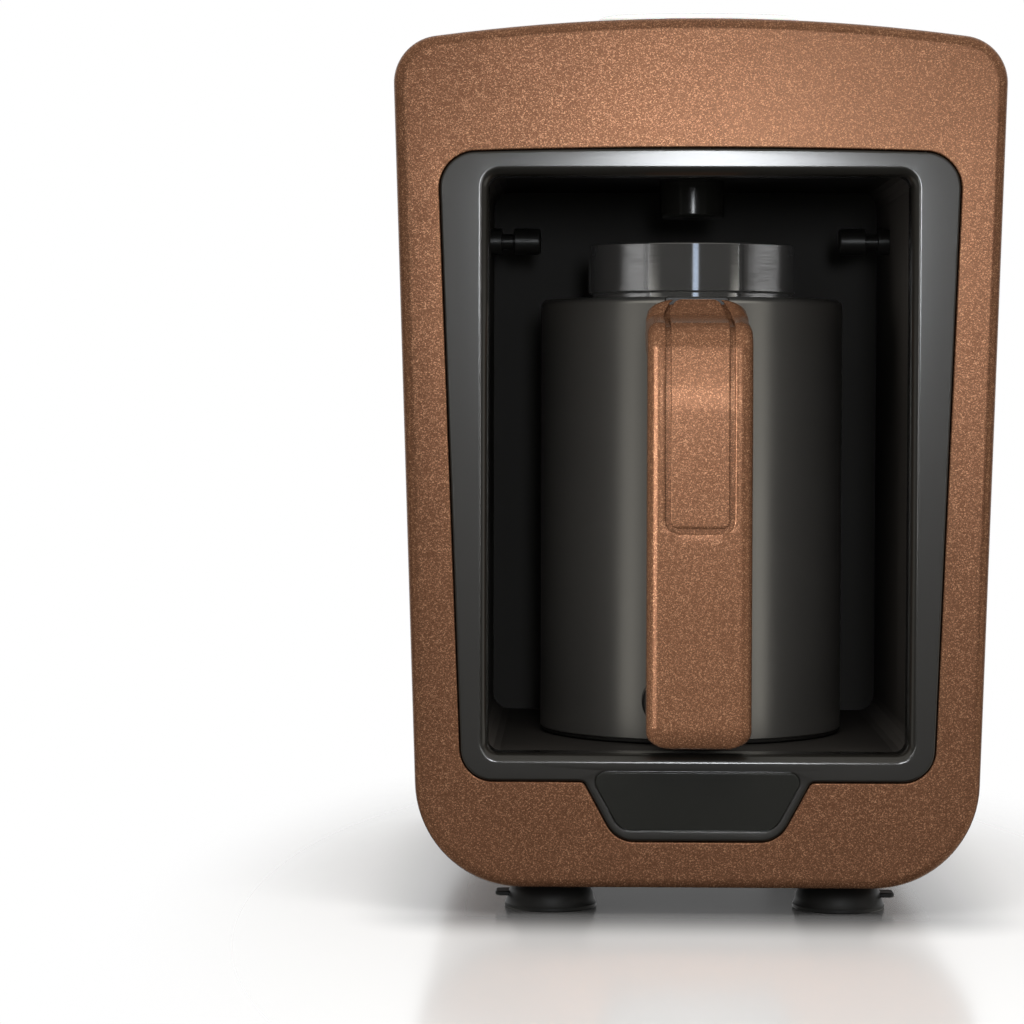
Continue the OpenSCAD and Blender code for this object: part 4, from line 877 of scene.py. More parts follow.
def cord_gland():
    """The bush for the cord, with a neck that clips behind the rear cover."""
    low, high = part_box("cable_gland")
    middle, bore = (low + high) / 2, settings().housing.gland_bore / 2
    d0, d1, face = low.y - FRONT, high.y - FRONT, COVER_HIGH.y - FRONT
    r = (high.x - low.x) / 2
    clip, neck = r - 0.8 * MM, r - 2 * MM
    s = Skin()
    s.turn([(bore, d0), (clip - 0.4 * MM, d0), (clip, d0 + 0.4 * MM), (clip, face - 2.8 * MM),
            (neck, face - 2.7 * MM), (neck, face), (r, face), (r, d1 - 1.2 * MM),
            (r - 0.35 * MM, d1 - 0.4 * MM), (r - 1.1 * MM, d1), (bore + 0.9 * MM, d1),
            (bore + 0.25 * MM, d1 - 0.3 * MM), (bore, d1 - 0.9 * MM)],
           lying(middle.x, middle.z), 64, True)
    return finished(solid(s, "cord_gland"), "housing", "black_plastic", "cable_gland")


def mouth_frame():
    """The bezel: face, rounded lip, collar and the badge tab with its pocket."""
    b = settings().bezel
    edge, skirt, thick = 0.7 * MM, 5 * MM, 4 * MM
    outline, badge = bezel_outline(), badge_outline()
    s = Skin()
    outer = [s.ring(at(-b.proud + edge * (1 - c), grown(outline, -edge * (1 - v))))
             for v, c in quarter(5)]
    outer.append(s.ring(at(skirt, outline)))
    lip = [s.ring(at(-b.proud + b.lip * (1 - c), mouth_outline(-b.lip * (1 - v))))
           for v, c in quarter(12)]
    lip.append(s.ring(at(b.collar, mouth_outline(0))))
    pocket = [s.ring(at(-b.proud + d, grown(badge, g))) for d, g in
              ((0, 0.42 * MM), (0.1 * MM, 0.25 * MM), (0.3 * MM, 0.2 * MM), (1.2 * MM, 0.2 * MM))]
    s.bridge(*outer)
    s.bridge(*lip)
    s.bridge(*pocket)
    s.fill(pocket[-1])
    s.fill(outer[0], lip[0], pocket[0])
    collar = s.ring(at(b.collar, mouth_outline(-thick)))
    step = s.ring(at(skirt, mouth_outline(-thick)))
    s.fill(collar, lip[-1])
    s.bridge(collar, step)
    s.fill(outer[-1], step)
    return finished(solid(s, "mouth_frame"), "housing", "bezel_satin", "front_bezel")


def badge():
    """The bare plate in the badge tab."""
    b = settings().bezel
    outline, face, edge = badge_outline(), -b.proud - b.badge_proud, 0.35 * MM
    pocket = 1.19 * MM
    s = Skin()
    s.loft([at(face + edge * (1 - c), grown(outline, -edge * (1 - v))) for v, c in quarter(4)]
           + [at(-b.proud + pocket, outline)])
    return finished(solid(s, "bare_badge"), "housing", "badge_black", "badge_plate")


def side_hooks():
    """Two short posts with round heads on the chamber's walls."""
    low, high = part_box("chamber_hooks")
    middle = (low + high) / 2
    r, neck, reach = (high.z - low.z) / 2, 2.2 * MM, 15 * MM
    wall, head, foot, edge, bevel = high.x, 8 * MM, 3.5 * MM, 0.8 * MM, 0.3 * MM
    s = Skin()
    tip = wall - reach
    profile = ([(0, tip)] + [(r - edge + edge * v, tip + edge * (1 - c)) for v, c in quarter(4)]
               + [(r, tip + head - bevel), (r - bevel, tip + head), (neck, tip + head),
                  (neck, wall - foot), (r - bevel, wall - foot), (r, wall - foot + bevel),
                  (r, wall), (0, wall)])
    for side in (-1, 1):
        s.turn(profile, sideways(middle.y - FRONT, middle.z, side), 40)
    return finished(solid(s, "side_hooks"), "housing", "black_plastic", "chamber_hooks")


def sensor():
    """Overflow sensor under the chamber's ceiling, with its window left open."""
    low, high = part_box("sensor_housing")
    middle, r, top = (low + high) / 2, (high.x - low.x) / 2, high.z
    ceiling, edge, bore, bevel = top - 2 * MM, 1.2 * MM, 3.2 * MM, 0.3 * MM
    neck, inside, seat = r - 2.6 * MM, 5 * MM, 4.15 * MM
    s = Skin()
    s.turn([(bore, low.z + bevel), (bore + bevel, low.z)]
           + [(r - edge + edge * v, low.z + edge * (1 - c)) for v, c in quarter(5)]
           + [(r, ceiling), (neck, ceiling), (neck, top), (inside, top),
              (inside, low.z + 2.4 * MM), (seat, low.z + 2.4 * MM), (seat, low.z + MM),
              (bore, low.z + MM)], upright(0, middle.y - FRONT), 64, True)
    return finished(solid(s, "sensor_cup"), "housing", "black_plastic", "sensor_housing",
                    finish=finishes()["badge_black"])


def plate_outline(growth):
    """Plan of the opal plate, as (x, depth) points."""
    c = settings().controls
    x, half, d = c.plate_width / 2 + growth, c.plate_length / 2 + growth, c.plate_depth
    return denser(oblong(-x, d - half, x, d + half, c.plate_corner + growth, 10), 3 * MM)


def opal_plate():
    """Opal plate that follows the crown, round the start button."""
    c = settings().controls
    low, edge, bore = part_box("light_ring")[0].z, 1.1 * MM, c.button_radius + GAP

    def over(plan, drop):
        """An outline laid on the plate's crowned top, or a drop below it."""
        return [(x, FRONT + d, crown_z(x, c.plate_proud) - drop) for x, d in plan]

    plan = plate_outline(0)
    circle = []
    for x, d in plan:
        away = Vector((x, d - c.plate_depth)).normalized() * bore
        circle.append((away.x, c.plate_depth + away.y))
    s = Skin()
    sides = [s.ring(level(low, plan))]
    sides += [s.ring(over(grown(plan, -edge * (1 - k)), edge * (1 - v))) for v, k in quarter(6)]
    flat = grown(plan, -edge)
    for share in (0.25, 0.5, 0.75):
        between = [tuple(Vector(a).lerp(Vector(b), share)) for a, b in zip(flat, circle)]
        sides.append(s.ring(over(between, 0)))
    wide = [(x * 1.02, c.plate_depth + (d - c.plate_depth) * 1.02) for x, d in circle]
    sides += [s.ring(over(wide, 0)), s.ring(over(circle, 0.4 * MM)), s.ring(level(low, circle))]
    s.bridge(*sides, sides[0])
    return finished(solid(s, "opal_plate"), "housing", "opal_plastic", "light_ring")


def button():
    """The start button: a dished cap on a stem."""
    c = settings().controls
    low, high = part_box("start_button")
    r, stem, edge, bevel = c.button_radius, 4 * MM, 0.9 * MM, 0.4 * MM
    cap, top = high.z - 2.7 * MM, high.z + 0.85 * MM
    rim = [(r - edge + edge * k, top - edge * (1 - v)) for v, k in quarter(6)]
    dish = [(r * k, top - c.button_dish * (1 - (k / 0.86) ** 2))
            for k in (0.86, 0.8, 0.7, 0.55, 0.4, 0.2)]
    s = Skin()
    s.turn([(0, low.z), (stem, low.z), (stem, cap), (r - bevel, cap), (r, cap + bevel)] + rim
           + dish + [(0, top - c.button_dish)], upright(0, c.plate_depth))
    return finished(solid(s, "button_cap"), "button", "opal_plastic", "start_button")


def jug_window(name, outline, r):
    """A block that cuts an opening with this outline through the back of the jug."""
    inwards, outwards = 14 * MM, 5 * MM
    back = JUG_AXIS.y - FRONT + r
    block = Skin()
    block.loft([at(back - inwards, outline), at(back + outwards, outline)])
    return solid(block, name)


def jug():
    """The hollow steel body, with its shoulder, its floor and an opening for the connector."""
    j = settings().jug
    r = (JUG_HIGH.x - JUG_LOW.x) / 2
    low, high, e = JUG_LOW.z, JUG_HIGH.z, j.shoulder_edge
    neck, inner, cove, bevel = j.collar - 1.2 * MM, r - j.wall, 6 * MM, 0.3 * MM
    profile = [(inner + 0.2 * MM, low), (r - bevel, low), (r, low + bevel)]
    profile += [(r - e + e * c, high - e + e * v) for v, c in quarter(8)]
    profile += [(neck + 0.6 * MM, high), (neck - j.wall, high + 0.1 * MM),
                (neck - j.wall, high - j.wall)]
    profile += [(r - e + (e - j.wall) * v, high - e + (e - j.wall) * c) for v, c in quarter(6)]
    profile += [(inner - cove + cove * c, j.floor + cove - cove * v) for v, c in quarter(8)]
    profile += [(0, j.floor), (0, j.floor - j.wall), (inner, j.floor - j.wall),
                (inner, low + 0.2 * MM)]
    s = Skin()
    s.turn(profile, upright(0, JUG_AXIS.y - FRONT), 160, True)
    body = solid(s, "steel_jug")
    half = j.window_width / 2
    outline = oblong(-half, low - 6 * MM, half, j.window_top, 2 * MM, 5)
    cut(body, jug_window("connector_window", outline, r))
    return finished(body, "jug", "satin_steel", "jug_body")


def collar():
    """The polished ring at the jug's rim."""
    j = settings().jug
    low, high = JUG_HIGH.z, j.rim
    r, wall, neck, e = j.collar, 1.4 * MM, j.collar - 1.2 * MM, 0.5 * MM
    s = Skin()
    s.turn([(neck - MM, low), (neck, low), (neck, j.collar_low - 0.2 * MM),
            (r - e, j.collar_low), (r, j.collar_low + 0.45 * MM)]
           + [(r - e + e * c, high - e + e * v) for v, c in quarter(6)]
           + [(r - wall + e - e * v, high - e + e * c) for v, c in quarter(6)]
           + [(r - wall, j.collar_low + wall), (neck - MM, j.collar_low)],
           upright(0, JUG_AXIS.y - FRONT), 160, True)
    return finished(solid(s, "polished_collar"), "jug", "polished_steel", "jug_collar")


def jug_foot():
    """Black moulded base in the jug's lower end."""
    low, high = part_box("jug_base")
    r, inner, floor, wall = (high.x - low.x) / 2, 42.6 * MM, low.z + 3 * MM, 2 * MM
    steel = JUG_LOW.z - 0.15 * MM
    s = Skin()
    s.turn([(0, low.z + 0.25 * MM), (r - 9 * MM, low.z + 0.25 * MM), (r - 8.6 * MM, low.z),
            (r - 0.6 * MM, low.z), (r - 0.12 * MM, low.z + 0.2 * MM), (r, low.z + 0.6 * MM),
            (r, steel), (inner, steel), (inner, high.z), (inner - wall, high.z),
            (inner - wall, floor), (0, floor)], upright(0, JUG_AXIS.y - FRONT), 128)
    body = solid(s, "black_jug_base")
    half = settings().jug.window_width / 2
    outline = oblong(-half, floor, half, high.z + 4 * MM, 0.5 * MM, 3)
    well_ring, well_r, well_top = 34 * MM, 3.1 * MM, low.z + 1.4 * MM
    wells = Skin()
    for angle in (90, 210, 330):
        x = well_ring * cos(radians(angle))
        depth = JUG_AXIS.y - FRONT - well_ring * sin(radians(angle))
        wells.turn([(0, low.z - MM), (well_r, low.z - MM), (well_r, well_top), (0, well_top)],
                   upright(x, depth), 32)
    cut(body, jug_window("base_window", outline, r), solid(wells, "base_wells"))
    return finished(body, "jug", "black_plastic", "jug_base")


# ---------- handle ----------

HANDLE_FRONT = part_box("handle_shell")[0].y - FRONT
HANDLE_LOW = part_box("handle_shell")[0].z
HANDLE_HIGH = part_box("handle_shell")[1].z
JUG_FRONT = JUG_LOW.y - FRONT
LEAN = HANDLE_HIGH - 27.5 * MM      # height from which the handle leans back
STRAIGHT = 12                       # stations of the handle's line before its straight part


def offset_path(points, e):
    """The open path moved to its right hand side by e."""
    moved = []
    for i, point in enumerate(points):
        last = len(points) - 1
        a, b = Vector(points[max(i - 1, 0)]), Vector(points[max(i, 1)])
        c, d = Vector(points[min(i, last - 1)]), Vector(points[min(i + 1, last)])
        one, two = (b - a).normalized(), (d - c).normalized()
        n = Vector((one.y + two.y, -one.x - two.x))
        moved.append(tuple(Vector(point) + n * (e / (1 + one.dot(two)))))
    return moved


def handle_line(e, extra=()):
    """Front line of the handle set in by e, as (depth, z) points from the lower end up.
    extra holds heights at which the straight part gets more points."""
    # each bend from the lower end up: depth, height, radius, and which way it turns
    bends = ((HANDLE_FRONT, HANDLE_LOW, 6.5, -1), (HANDLE_FRONT, LEAN, 100, -1),
             (HANDLE_FRONT + 1.8 * MM, HANDLE_HIGH - 7.5 * MM, 8, -1),
             (JUG_FRONT - 7 * MM, HANDLE_HIGH - 4.5 * MM, 5, 1),
             (JUG_FRONT - 2 * MM, HANDLE_HIGH, 3, -1))
    least = 0.04 * MM
    path = ([(JUG_FRONT - 22 * MM, HANDLE_LOW)] + [(depth, z) for depth, z, _, _ in bends]
            + [(JUG_FRONT + 8 * MM, HANDLE_HIGH)])
    radii = [0] + [max(r * MM + side * e, least) for _, _, r, side in bends] + [0]
    line = rounded(offset_path(path, e), radii, 10)
    return line[:STRAIGHT] + [(HANDLE_FRONT + e, z) for z in extra] + line[STRAIGHT:]


def handle_line_cached(lines, e, extra):
    """The front line set in by e, worked out once for each e and kept in lines."""
    key = round(e, 7)
    if key not in lines:
        lines[key] = handle_line(e, extra)
    return lines[key]


def round_end(r, rise):
    """How much narrower a round-cornered end is at a height above its edge."""
    return r - sqrt(max(r * r - (r - max(rise, 0)) ** 2, 0)) if rise < r else 0


def half_width(z):
    """Half width of the handle at a height, seen from the front."""
    h = settings().handle
    return (h.width / 2 - round_end(h.corner_low, z - HANDLE_LOW)
            - round_end(h.corner_high, HANDLE_HIGH - z))


def jug_face(x):
    """Depth of the jug's wall at a place across."""
    r = (JUG_HIGH.x - JUG_LOW.x) / 2 + 0.1 * MM
    return JUG_AXIS.y - FRONT - sqrt(r * r - x * x)


def swept(profile, extra, stations, shape, clear=0.0):
    """Sweeps (x, e) points along the handle's front line, no closer to the jug than clear.
    shape changes a point at a station."""
    lines, rings = {}, []
    for k in stations:
        z0 = handle_line_cached(lines, 0, extra)[k][1]
        ring = []
        for n, (x, e) in enumerate(profile):
            x, e = shape(n, x, e, k, z0)
            depth, z = handle_line_cached(lines, e, extra)[k]
            x *= half_width(z) / (settings().handle.width / 2)
            ring.append((x, FRONT + min(depth, jug_face(x) - clear), z))
        rings.append(ring)
    return rings


def handle_skin():
    """Brown skin of the handle, with the channel for the thumb panel."""
    h = settings().handle
    half, r, round_off, deep, shell = h.width / 2, h.edge, 0.5 * MM, 1.2 * MM, 1.4 * MM
    channel = h.panel_width / 2 + h.groove
    end, corner = h.panel_low - h.groove, h.panel_corner + h.groove
    sides = [(-half, h.wrap - 0.3 * MM)]
    sides += [(-half + r * (1 - c), r * (1 - v)) for v, c in quarter(7)]
    wall = (0, 0.3 * round_off, round_off, deep)    # depth of the channel's wall, point by point
    face = [(-channel - round_off, wall[0]), (-channel - 0.3 * round_off, wall[1]),
            (-channel, wall[2]), (-channel, wall[3])]
    left = sides + face
    front = left + [(-x, e) for x, e in reversed(left)]
    core = half - shell
    inside = [(core, h.wrap), (core, h.skin), (-core, h.skin), (-core, h.wrap)]
    first, last = len(sides), len(sides) + 2 * len(face) - 1
    extra = [end - 3 * MM, end - round_off, end - 0.3 * round_off, end, end + 0.03 * MM]
    extra += [end + corner * (1 - c) for v, c in quarter(6)[1:]] + [end + 12 * MM]
    # the first stations of the channel's end, where its wall isn't at full depth yet
    at_end = dict(zip(range(STRAIGHT, STRAIGHT + 4), (0, 0, wall[1], wall[2])))

    def shape(n, x, e, k, z):
        """The face before the channel's end, and the channel's wall after it."""
        if not first <= n <= last:
            return x, e
        side, offset, rise = (-1 if x < 0 else 1), abs(x) - channel, z - end
        if k < STRAIGHT or rise < -2 * round_off:
            return side * (channel - corner + offset), 0
        depth = min(wall[min(n - first, last - n)], at_end.get(k, deep))
        return side * (channel - round_end(corner, rise) + offset), depth

    s = Skin()
    s.loft(swept(front + inside, extra, range(len(handle_line(0, extra))), shape))
    return finished(solid(s, "handle_skin"), "jug", "copper_paint", "handle_shell", sharp=38)


def thumb_inlay():
    """Thumb panel: a thin plate that lies in the skin's channel."""
    h = settings().handle
    half, edge, thick, clear = h.panel_width / 2, 0.4 * MM, 1.15 * MM, 1.9 * MM
    profile = [(-half, thick)] + [(-half + edge * (1 - c), edge * (1 - v)) for v, c in quarter(4)]
    profile += [(-x, e) for x, e in reversed(profile)]
    rises = [0.0, 0.03 * MM] + [h.panel_corner * (1 - c) for v, c in quarter(7)[1:]] + [12 * MM]
    extra = [h.panel_low + rise for rise in rises]

    def shape(n, x, e, k, z):
        """Rounds the panel's lower end off, seen from the front and from the side."""
        rise = z - h.panel_low
        x = (1 if x > 0 else -1) * (abs(x) - round_end(h.panel_corner, rise))
        return x, max(e, edge - rise)

    s = Skin()
    s.loft(swept(profile, extra, range(STRAIGHT, len(handle_line(0, extra)) - 1), shape, clear))
    return finished(solid(s, "thumb_inlay"), "jug", "copper_paint", "thumb_panel")


def handle_heart():
    """Black core of the handle: grip, two arms, foot pad and cap strip."""
    h = settings().handle
    half, skin = h.width / 2 - 1.45 * MM, h.skin + 0.05 * MM
    back, root = HANDLE_FRONT + h.grip, JUG_FRONT + 6 * MM
    low, high = HANDLE_LOW + h.skin + 0.1 * MM, HANDLE_HIGH - 27 * MM
    arm_top = low + 12 * MM
    s = Skin()

    def bar(outline, half, edge=1.2 * MM):
        """A (depth, z) outline as a bar across the handle with rounded sides."""
        s.loft([[(x, FRONT + min(d, jug_face(x)), z) for d, z in grown(outline, -inset)]
                for x, inset in ((-half, edge), (-half + 0.3 * edge, 0.3 * edge), (-half + edge, 0),
                                 (half - edge, 0), (half - 0.3 * edge, 0.3 * edge), (half, edge))])

    def plate(outline, proud, edge, steps):
        """An (x, z) outline as a plate with a round edge that stands out from the jug's wall."""
        s.loft([at(JUG_FRONT - proud + edge * (1 - c), grown(outline, -edge * (1 - v)))
                for v, c in quarter(steps)] + [[(x, FRONT + jug_face(x), z) for x, z in outline]])

    line = handle_line(skin)
    line = [p for p in line if p[0] < JUG_FRONT - 0.5 * MM] + [(root, line[-1][1])]
    inner = rounded([(root, high), (back, high), (back, arm_top), (root, arm_top), (root, low)],
                    [0, 8 * MM, 6 * MM, 0, 0], 8)
    bar(list(reversed(line + inner)), half)
    plate(oblong(-15 * MM, low - 0.2 * MM, 15 * MM, arm_top, 5.9 * MM, 10), 6 * MM, 1.6 * MM, 5)
    plate(oblong(-9 * MM, HANDLE_HIGH - 8 * MM, 9 * MM, HANDLE_HIGH + 0.8 * MM, 0.9 * MM, 4),
          1.7 * MM, 0.4 * MM, 3)
    return finished(solid(s, "handle_heart"), "jug", "black_plastic", "handle_core")


# ---------- feet ----------

def suction_foot(node):
    """A domed cup, hollow below, with a pull tab at its outer side."""
    low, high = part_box(node)
    r, edge = (high.y - low.y) / 2, 0.3 * MM
    side = -1 if low.x < 0 else 1
    x = high.x - r if side < 0 else low.x + r
    depth, top = (low.y + high.y) / 2 - FRONT, high.z
    hollow = [(0, 0.32), (0.4, 0.25), (0.8, 0.10)]
    dome = [(0.93, 0.52), (0.86, 0.70), (0.76, 0.85), (0.66, 0.95), (0.6, 1), (0, 1)]
    s = Skin()
    s.turn([(a * r, b * top) for a, b in hollow]
           + [(r - 1.3 * MM, 0.05 * MM), (r - 1.0 * MM, 0), (r - edge, 0), (r, edge), (r, 1.1 * MM),
              (r - edge, 1.5 * MM), (r - 0.7 * MM, 0.34 * top)]
           + [(a * r, b * top) for a, b in dome], upright(x, depth), 72)
    root, tip, wide, thick, under = r - 1.5 * MM, r + 2.6 * MM, 3.5 * MM, 1.3 * MM, 3.2 * MM
    tab = rounded([(x + side * root, depth - wide), (x + side * tip, depth - wide),
                   (x + side * tip, depth + wide), (x + side * root, depth + wide)],
                  [0, 1.6 * MM, 1.6 * MM, 0], 6)
    if side < 0:
        tab.reverse()
    s.loft([level(under, grown(tab, -edge)), level(under + edge, tab),
            level(under + thick - edge, tab), level(under + thick, grown(tab, -edge))])
    return finished(solid(s, "cup_" + node), "housing", "foot_rubber", node)


# ---------- stage ----------

def make_camera():
    """The camera in front of the body, a little above its middle."""
    g = settings().stage
    yaw, pitch, roll = radians(-1.24), radians(2.20), radians(0.15)
    ahead = Vector((sin(yaw) * cos(pitch), cos(yaw) * cos(pitch), -sin(pitch)))
    right = Vector((cos(yaw), -sin(yaw), 0))
    up = right.cross(ahead)
    right, up = right * cos(roll) + up * sin(roll), up * cos(roll) - right * sin(roll)
    data = bpy.data.cameras.new("Camera")
    data.lens, data.sensor_width = g.lens, 36
    data.clip_start, data.clip_end = 0.05, 30
    camera = bpy.data.objects.new("Camera", data)
    camera.matrix_world = Matrix(((right.x, up.x, -ahead.x, g.camera_x),
                                  (right.y, up.y, -ahead.y, g.camera_y),
                                  (right.z, up.z, -ahead.z, g.camera_z), (0, 0, 0, 1)))
    bpy.context.scene.collection.objects.link(camera)
    bpy.context.scene.camera = camera


def lamp(name, place, aim, size, watts):
    """A rectangular lamp at a place, turned to what it aims at."""
    data = bpy.data.lights.new(name, "AREA")
    data.shape, (data.size, data.size_y) = "RECTANGLE", size
    data.energy = watts * settings().stage.lamp_level
    lamp_object = bpy.data.objects.new(name, data)
    lamp_object.location = place
    lamp_object.rotation_euler = (Vector(aim) - Vector(place)).to_track_quat("-Z", "Y").to_euler()
    bpy.context.scene.collection.objects.link(lamp_object)
    return lamp_object


def group(name, *pieces):
    """A collection of pieces, for the lamps that light or pass only these."""
    made = bpy.data.collections.new(name)
    for piece in pieces:
        made.objects.link(bpy.data.objects[piece])
    return made


def collar_lamps():
    """Keeps the front lamp's glare off the polished collar, which gets two lamps of its own."""
    spared = group("Spared by the front lamp", "polished_collar")
    spared.collection_objects[0].light_linking.link_state = "EXCLUDE"
    bpy.data.objects["Front lamp"].light_linking.receiver_collection = spared
    lit = group("Collar light", "polished_collar")
    clear = group("Collar light blockers", "handle_skin")
    for name, place, wide, watts in (("Collar lamp left", (-1.40, -0.66, 0.26), 0.85, 6.0),
                                     ("Collar lamp right", (1.50, -0.11, 0.26), 1.1, 9.0)):
        glow = lamp(name, place, (0, -0.06, 0.18), (wide, 0.3), watts)
        glow.light_linking.receiver_collection = lit
        glow.light_linking.blocker_collection = clear


def handle_lamp():
    """A wide lamp from the left that lights the handle's skin alone."""
    rim = lamp("Handle lamp", (-0.82, -1.25, 0.22), (0, -0.1, 0.12), (0.9, 0.5), 19)
    rim.light_linking.receiver_collection = group("Handle light", "handle_skin", "thumb_inlay")


def lip_lamps():
    """Two narrow lamps that draw the light lines along the bezel's lip."""
    lit = group("Lip light", "mouth_frame")
    for name, across in (("Lip lamp left", -0.42), ("Lip lamp right", 0.50)):
        line = lamp(name, (across, -1.6, 0.24), (0, -0.09, 0.15), (0.06, 0.45), 1.2)
        line.light_linking.receiver_collection = lit


def side_sheen():
    """A faint lamp for the housing's right side."""
    sheen = lamp("Side sheen lamp", (0.36, -1.62, 0.22), (0, 0, 0.16), (0.12, 0.3), 1.3)
    sheen.light_linking.receiver_collection = group("Side sheen", "brown_shell")


def eased(share):
    """A share from 0 to 1 with a soft start and end."""
    return share * share * (3 - 2 * share)


def floor_finish():
    """Pale table with a painted shadow close under the body, that fades into the white room."""
    f = Finish("Pale table")
    tone = settings().colours.floor
    # painted shadow under the body: its half width, how far inside the footprint it is full, and
    # how far out it fades
    shadow_half, shadow_inside, shadow_fade = 62 * MM, 4 * MM, 42 * MM
    room_from, room_fade = 0.17, 0.16
    x, y, _ = f.split(f.place)
    # painted shadow: distance past the body's footprint on the table
    edge = past_edge(abs(x) - shadow_half, abs(y) + FRONT)
    x, y = x * 2.0, (y + 0.06) * 0.85
    away = (x * x + y * y) ** 0.5
    cloud = f.noise(0.15, 3)
    # painted shadow: a copy of the table at a fifth of its tone, under and close in front of the
    # body
    base = f.mix(eased(((edge + shadow_inside) / shadow_fade).held(0, 1)), shade(tone, 0.2),
                 f.mix(cloud, shade(tone, 0.985), tone))
    table = f.node("ShaderNodeBsdfPrincipled", None, {
        "Base Color": base, "Roughness": 0.16 + cloud * 0.03, "Specular IOR Level": 0.5})
    faded = f.node("ShaderNodeMixShader", None, {
        0: eased(((away - room_from) / room_fade).held(0, 1)),
        1: table, 2: f.node("ShaderNodeBsdfTransparent")})
    f.node("ShaderNodeOutputMaterial", None, {"Surface": faded})
    return f.material


def studio_tent():
    """A dark tent in front of the object with grey side cards, seen by reflections only."""
    s = Skin()
    reach, steps = radians(118), 48
    bearings = [reach * (2 * k / steps - 1) for k in range(steps + 1)]
    profile = ((0.02, -0.02), (2.1, -0.02), (2.1, 1.0), (1.9, 1.6), (1.4, 2.1), (0.7, 2.4),
               (0.05, 2.5))
    rows = [[s.mesh.verts.new((r * sin(a), -r * cos(a), z)) for a in bearings] for r, z in profile]
    for low, high in zip(rows, rows[1:]):
        for k in range(steps):
            s.mesh.faces.new((low[k], low[k + 1], high[k + 1], high[k]))
    tent = solid(s, "studio_tent")
    f = Finish("Studio tent")
    x, y, z = f.split(f.place)
    bearing = x.maths("ARCTAN2", x, y * -1.0)

    def card(middle, half, soft):
        """Share of a card round a bearing in degrees, with soft edges."""
        off = abs(bearing - radians(middle))
        return (1 - (off - radians(half)) / radians(soft)).held(0, 1)

    window = card(2.3, 2.2, 1.5) * (z > 0.18) * ((0.30 - z) > 0)
    left, right, top = card(-53, 9, 9) * 0.75, card(63, 15, 9) * 1.2, ((0.25 - z) * 50).held(0, 1)
    sides = (left + right) * settings().stage.card_level * top
    above = ((z - 0.42) * 2.5).held(0, 1) * 0.45
    strength = sides + above + window * 0.95 + 0.04
    tint = f.mix(window, (1.0, 0.965, 0.88), (0.80, 0.95, 1.2))
    glow = f.node("ShaderNodeEmission", None, {"Color": tint, "Strength": strength})
    f.node("ShaderNodeOutputMaterial", None, {"Surface": glow})
    tent.data.materials.append(f.material)
    tent.visible_camera = False
    tent.visible_diffuse = False
    tent.visible_shadow = False


def make_room():
    """White room for the camera and for reflections, and a softer even light elsewhere."""
    world = bpy.data.worlds.new("Room")
    bpy.context.scene.world = world
    f = Finish("Room", world)
    camera, glossy, through = f.outputs(f.node("ShaderNodeLightPath"), (
        "Is Camera Ray", "Is Glossy Ray", "Is Transmission Ray"))
    seen = camera.maths("MAXIMUM", camera.maths("MAXIMUM", camera, glossy), through)
    strength = f.node("ShaderNodeMix", None, {0: seen, 2: settings().stage.sky_level, 3: 1.0})
    room = f.node("ShaderNodeBackground", None, {"Color": (1, 1, 1), "Strength": strength})
    f.node("ShaderNodeOutputWorld", None, {"Surface": room})


def make_stage():
    """Camera, room, table, tent and the lamps that light everything."""
    make_camera()
    make_room()
    s, half = Skin(), 3.0
    s.fill(s.ring([(-half, -half, 0), (half, -half, 0), (half, half, 0), (-half, half, 0)]))
    table = solid(s, "table")
    table.data.materials.append(floor_finish())
    table.visible_glossy = False
    studio_tent()
    key = lamp("Front lamp", (0.065, -1.62, 0.285), (0, 0, 0.2), (0.13, 0.19), 2.9)
    key.data.color = (0.94, 0.97, 1.0)
    for name, place, size, watts in (("Top lamp", (0.1, -0.75, 1.25), (1.2, 0.7), 13),
                                     ("Left lamp", (-1.15, -0.95, 0.38), (0.5, 0.9), 4.6),
                                     ("Right lamp", (1.15, -0.95, 0.55), (0.5, 0.9), 5)):
        lamp(name, place, (0, 0, 0.14), size, watts).visible_glossy = False
    bpy.context.scene.view_settings.view_transform = "Standard"


# ---------- operators ----------

class COFFEE_OT_stage(bpy.types.Operator):
    """Makes the camera, the lamps, the room and the table"""
    bl_idname = "coffee_maker.stage"
    bl_label = "Stage"

    def execute(self, context):
        make_stage()
        return {"FINISHED"}


class COFFEE_OT_finishes(bpy.types.Operator):
    """Gives every node of the frame the finish of its slot"""
    bl_idname = "coffee_maker.finishes"
    bl_label = "Finishes"

    def execute(self, context):
        for part in frame["record"]["subparts"]:
            mesh = frame["nodes"][part["node"]].data
            mesh.materials.clear()
            mesh.materials.append(finishes()[OWN_FINISH.get(part["node"], part["material_slot"])])
        return {"FINISHED"}


class COFFEE_OT_housing(bpy.types.Operator):
    """Models the brown shell, the rear cover, its screws and the cord gland"""
    bl_idname = "coffee_maker.housing"
    bl_label = "Housing"

    def execute(self, context):
        brown_shell()
        rear_housing()
        screw_heads()
        cord_gland()
        side_sheen()
        return {"FINISHED"}


class COFFEE_OT_bezel(bpy.types.Operator):
    """Models the frame around the chamber's mouth and the bare badge plate"""
    bl_idname = "coffee_maker.bezel"
    bl_label = "Bezel and badge"

    def execute(self, context):
        mouth_frame()
        badge()
        lip_lamps()
        return {"FINISHED"}


class COFFEE_OT_chamber(bpy.types.Operator):
    """Models the hooks and the overflow sensor in the chamber"""
    bl_idname = "coffee_maker.chamber"
    bl_label = "Chamber"

    def execute(self, context):
        side_hooks()
        sensor()
        return {"FINISHED"}


class COFFEE_OT_controls(bpy.types.Operator):
    """Models the opal plate and the start button"""
    bl_idname = "coffee_maker.controls"
    bl_label = "Start button"

    def execute(self, context):
        opal_plate()
        button()
        return {"FINISHED"}


class COFFEE_OT_jug(bpy.types.Operator):
    """Models the steel jug, its polished collar and its black base"""
    bl_idname = "coffee_maker.jug"
    bl_label = "Jug"

    def execute(self, context):
        jug()
        collar()
        jug_foot()
        return {"FINISHED"}


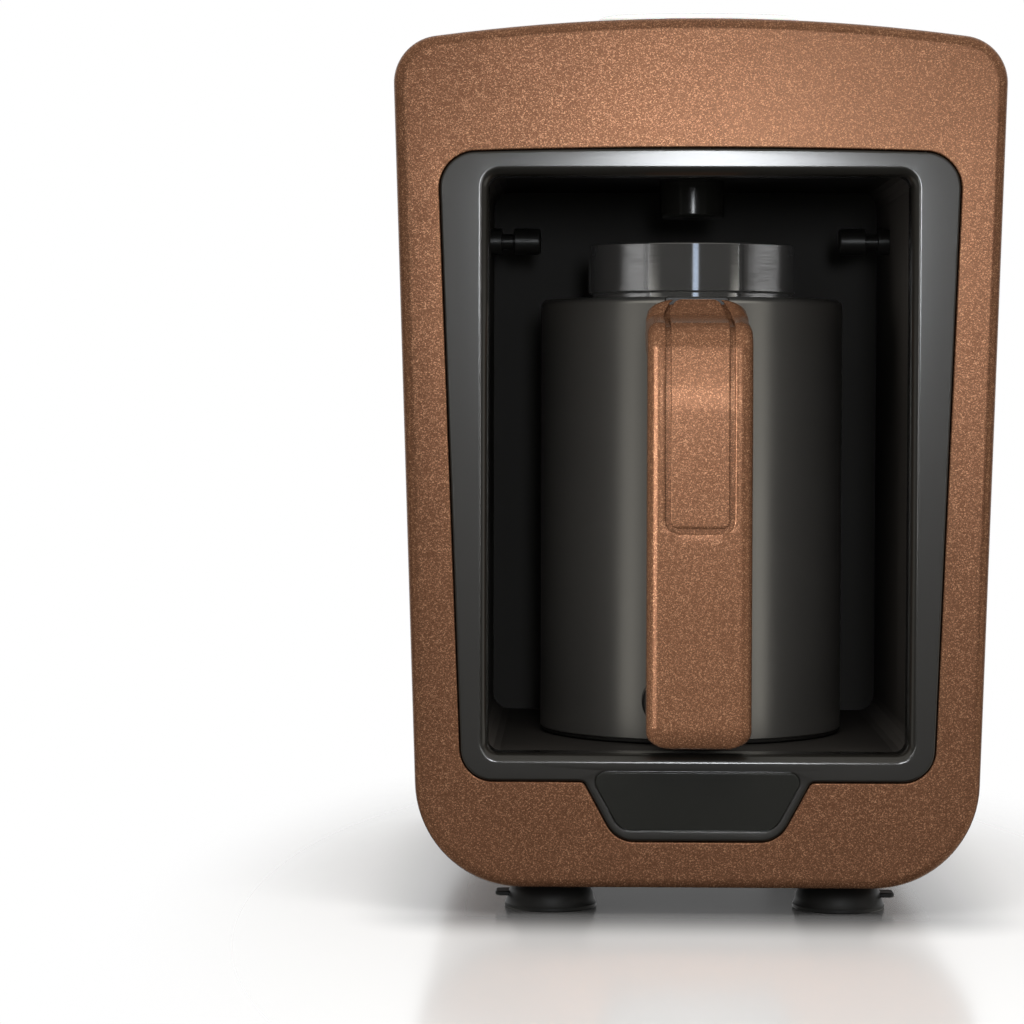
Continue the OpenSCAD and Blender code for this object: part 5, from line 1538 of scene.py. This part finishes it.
class COFFEE_OT_handle(bpy.types.Operator):
    """Models the handle's brown skin, thumb panel and black core"""
    bl_idname = "coffee_maker.handle"
    bl_label = "Handle"

    def execute(self, context):
        handle_skin()
        thumb_inlay()
        handle_heart()
        handle_lamp()
        collar_lamps()
        return {"FINISHED"}


class COFFEE_OT_feet(bpy.types.Operator):
    """Models the four suction feet with their pull tabs"""
    bl_idname = "coffee_maker.feet"
    bl_label = "Feet"

    def execute(self, context):
        for node in ("foot_front_left", "foot_front_right", "foot_rear_left", "foot_rear_right"):
            suction_foot(node)
        return {"FINISHED"}


PIECES = (COFFEE_OT_stage, COFFEE_OT_finishes, COFFEE_OT_housing, COFFEE_OT_bezel,
          COFFEE_OT_chamber, COFFEE_OT_controls, COFFEE_OT_jug, COFFEE_OT_handle, COFFEE_OT_feet)


class COFFEE_PT_maker(bpy.types.Panel):
    """Lists the pieces of the coffee maker"""
    bl_idname = "COFFEE_PT_maker"
    bl_label = "Coffee Maker"
    bl_space_type = "VIEW_3D"
    bl_region_type = "UI"
    bl_category = "Coffee Maker"

    def draw(self, context):
        for piece in PIECES:
            self.layout.operator(piece.bl_idname)
        maker = context.scene.coffee_maker
        for group in ("housing", "bezel", "jug", "handle", "controls", "colours", "stage"):
            box = self.layout.box()
            box.label(text=group.title())
            for key in getattr(maker, group).__annotations__:
                box.prop(getattr(maker, group), key)


CLASSES = (HousingSizes, BezelSizes, JugSizes, HandleSizes, ControlSizes, FinishColours, StageSizes,
           CoffeeMakerSettings, *PIECES, COFFEE_PT_maker)


def register():
    """Adds the settings, the operators and the panel."""
    for item in CLASSES:
        bpy.utils.register_class(item)
    bpy.types.Scene.coffee_maker = PointerProperty(type=CoffeeMakerSettings)


def unregister():
    """Takes them away again."""
    del bpy.types.Scene.coffee_maker
    for item in reversed(CLASSES):
        bpy.utils.unregister_class(item)


def main():
    """Builds the whole part, one group of pieces after the other."""
    register()
    for piece in PIECES:
        family, name = piece.bl_idname.split(".")
        getattr(getattr(bpy.ops, family), name)()


if __name__ == "__main__":
    main()
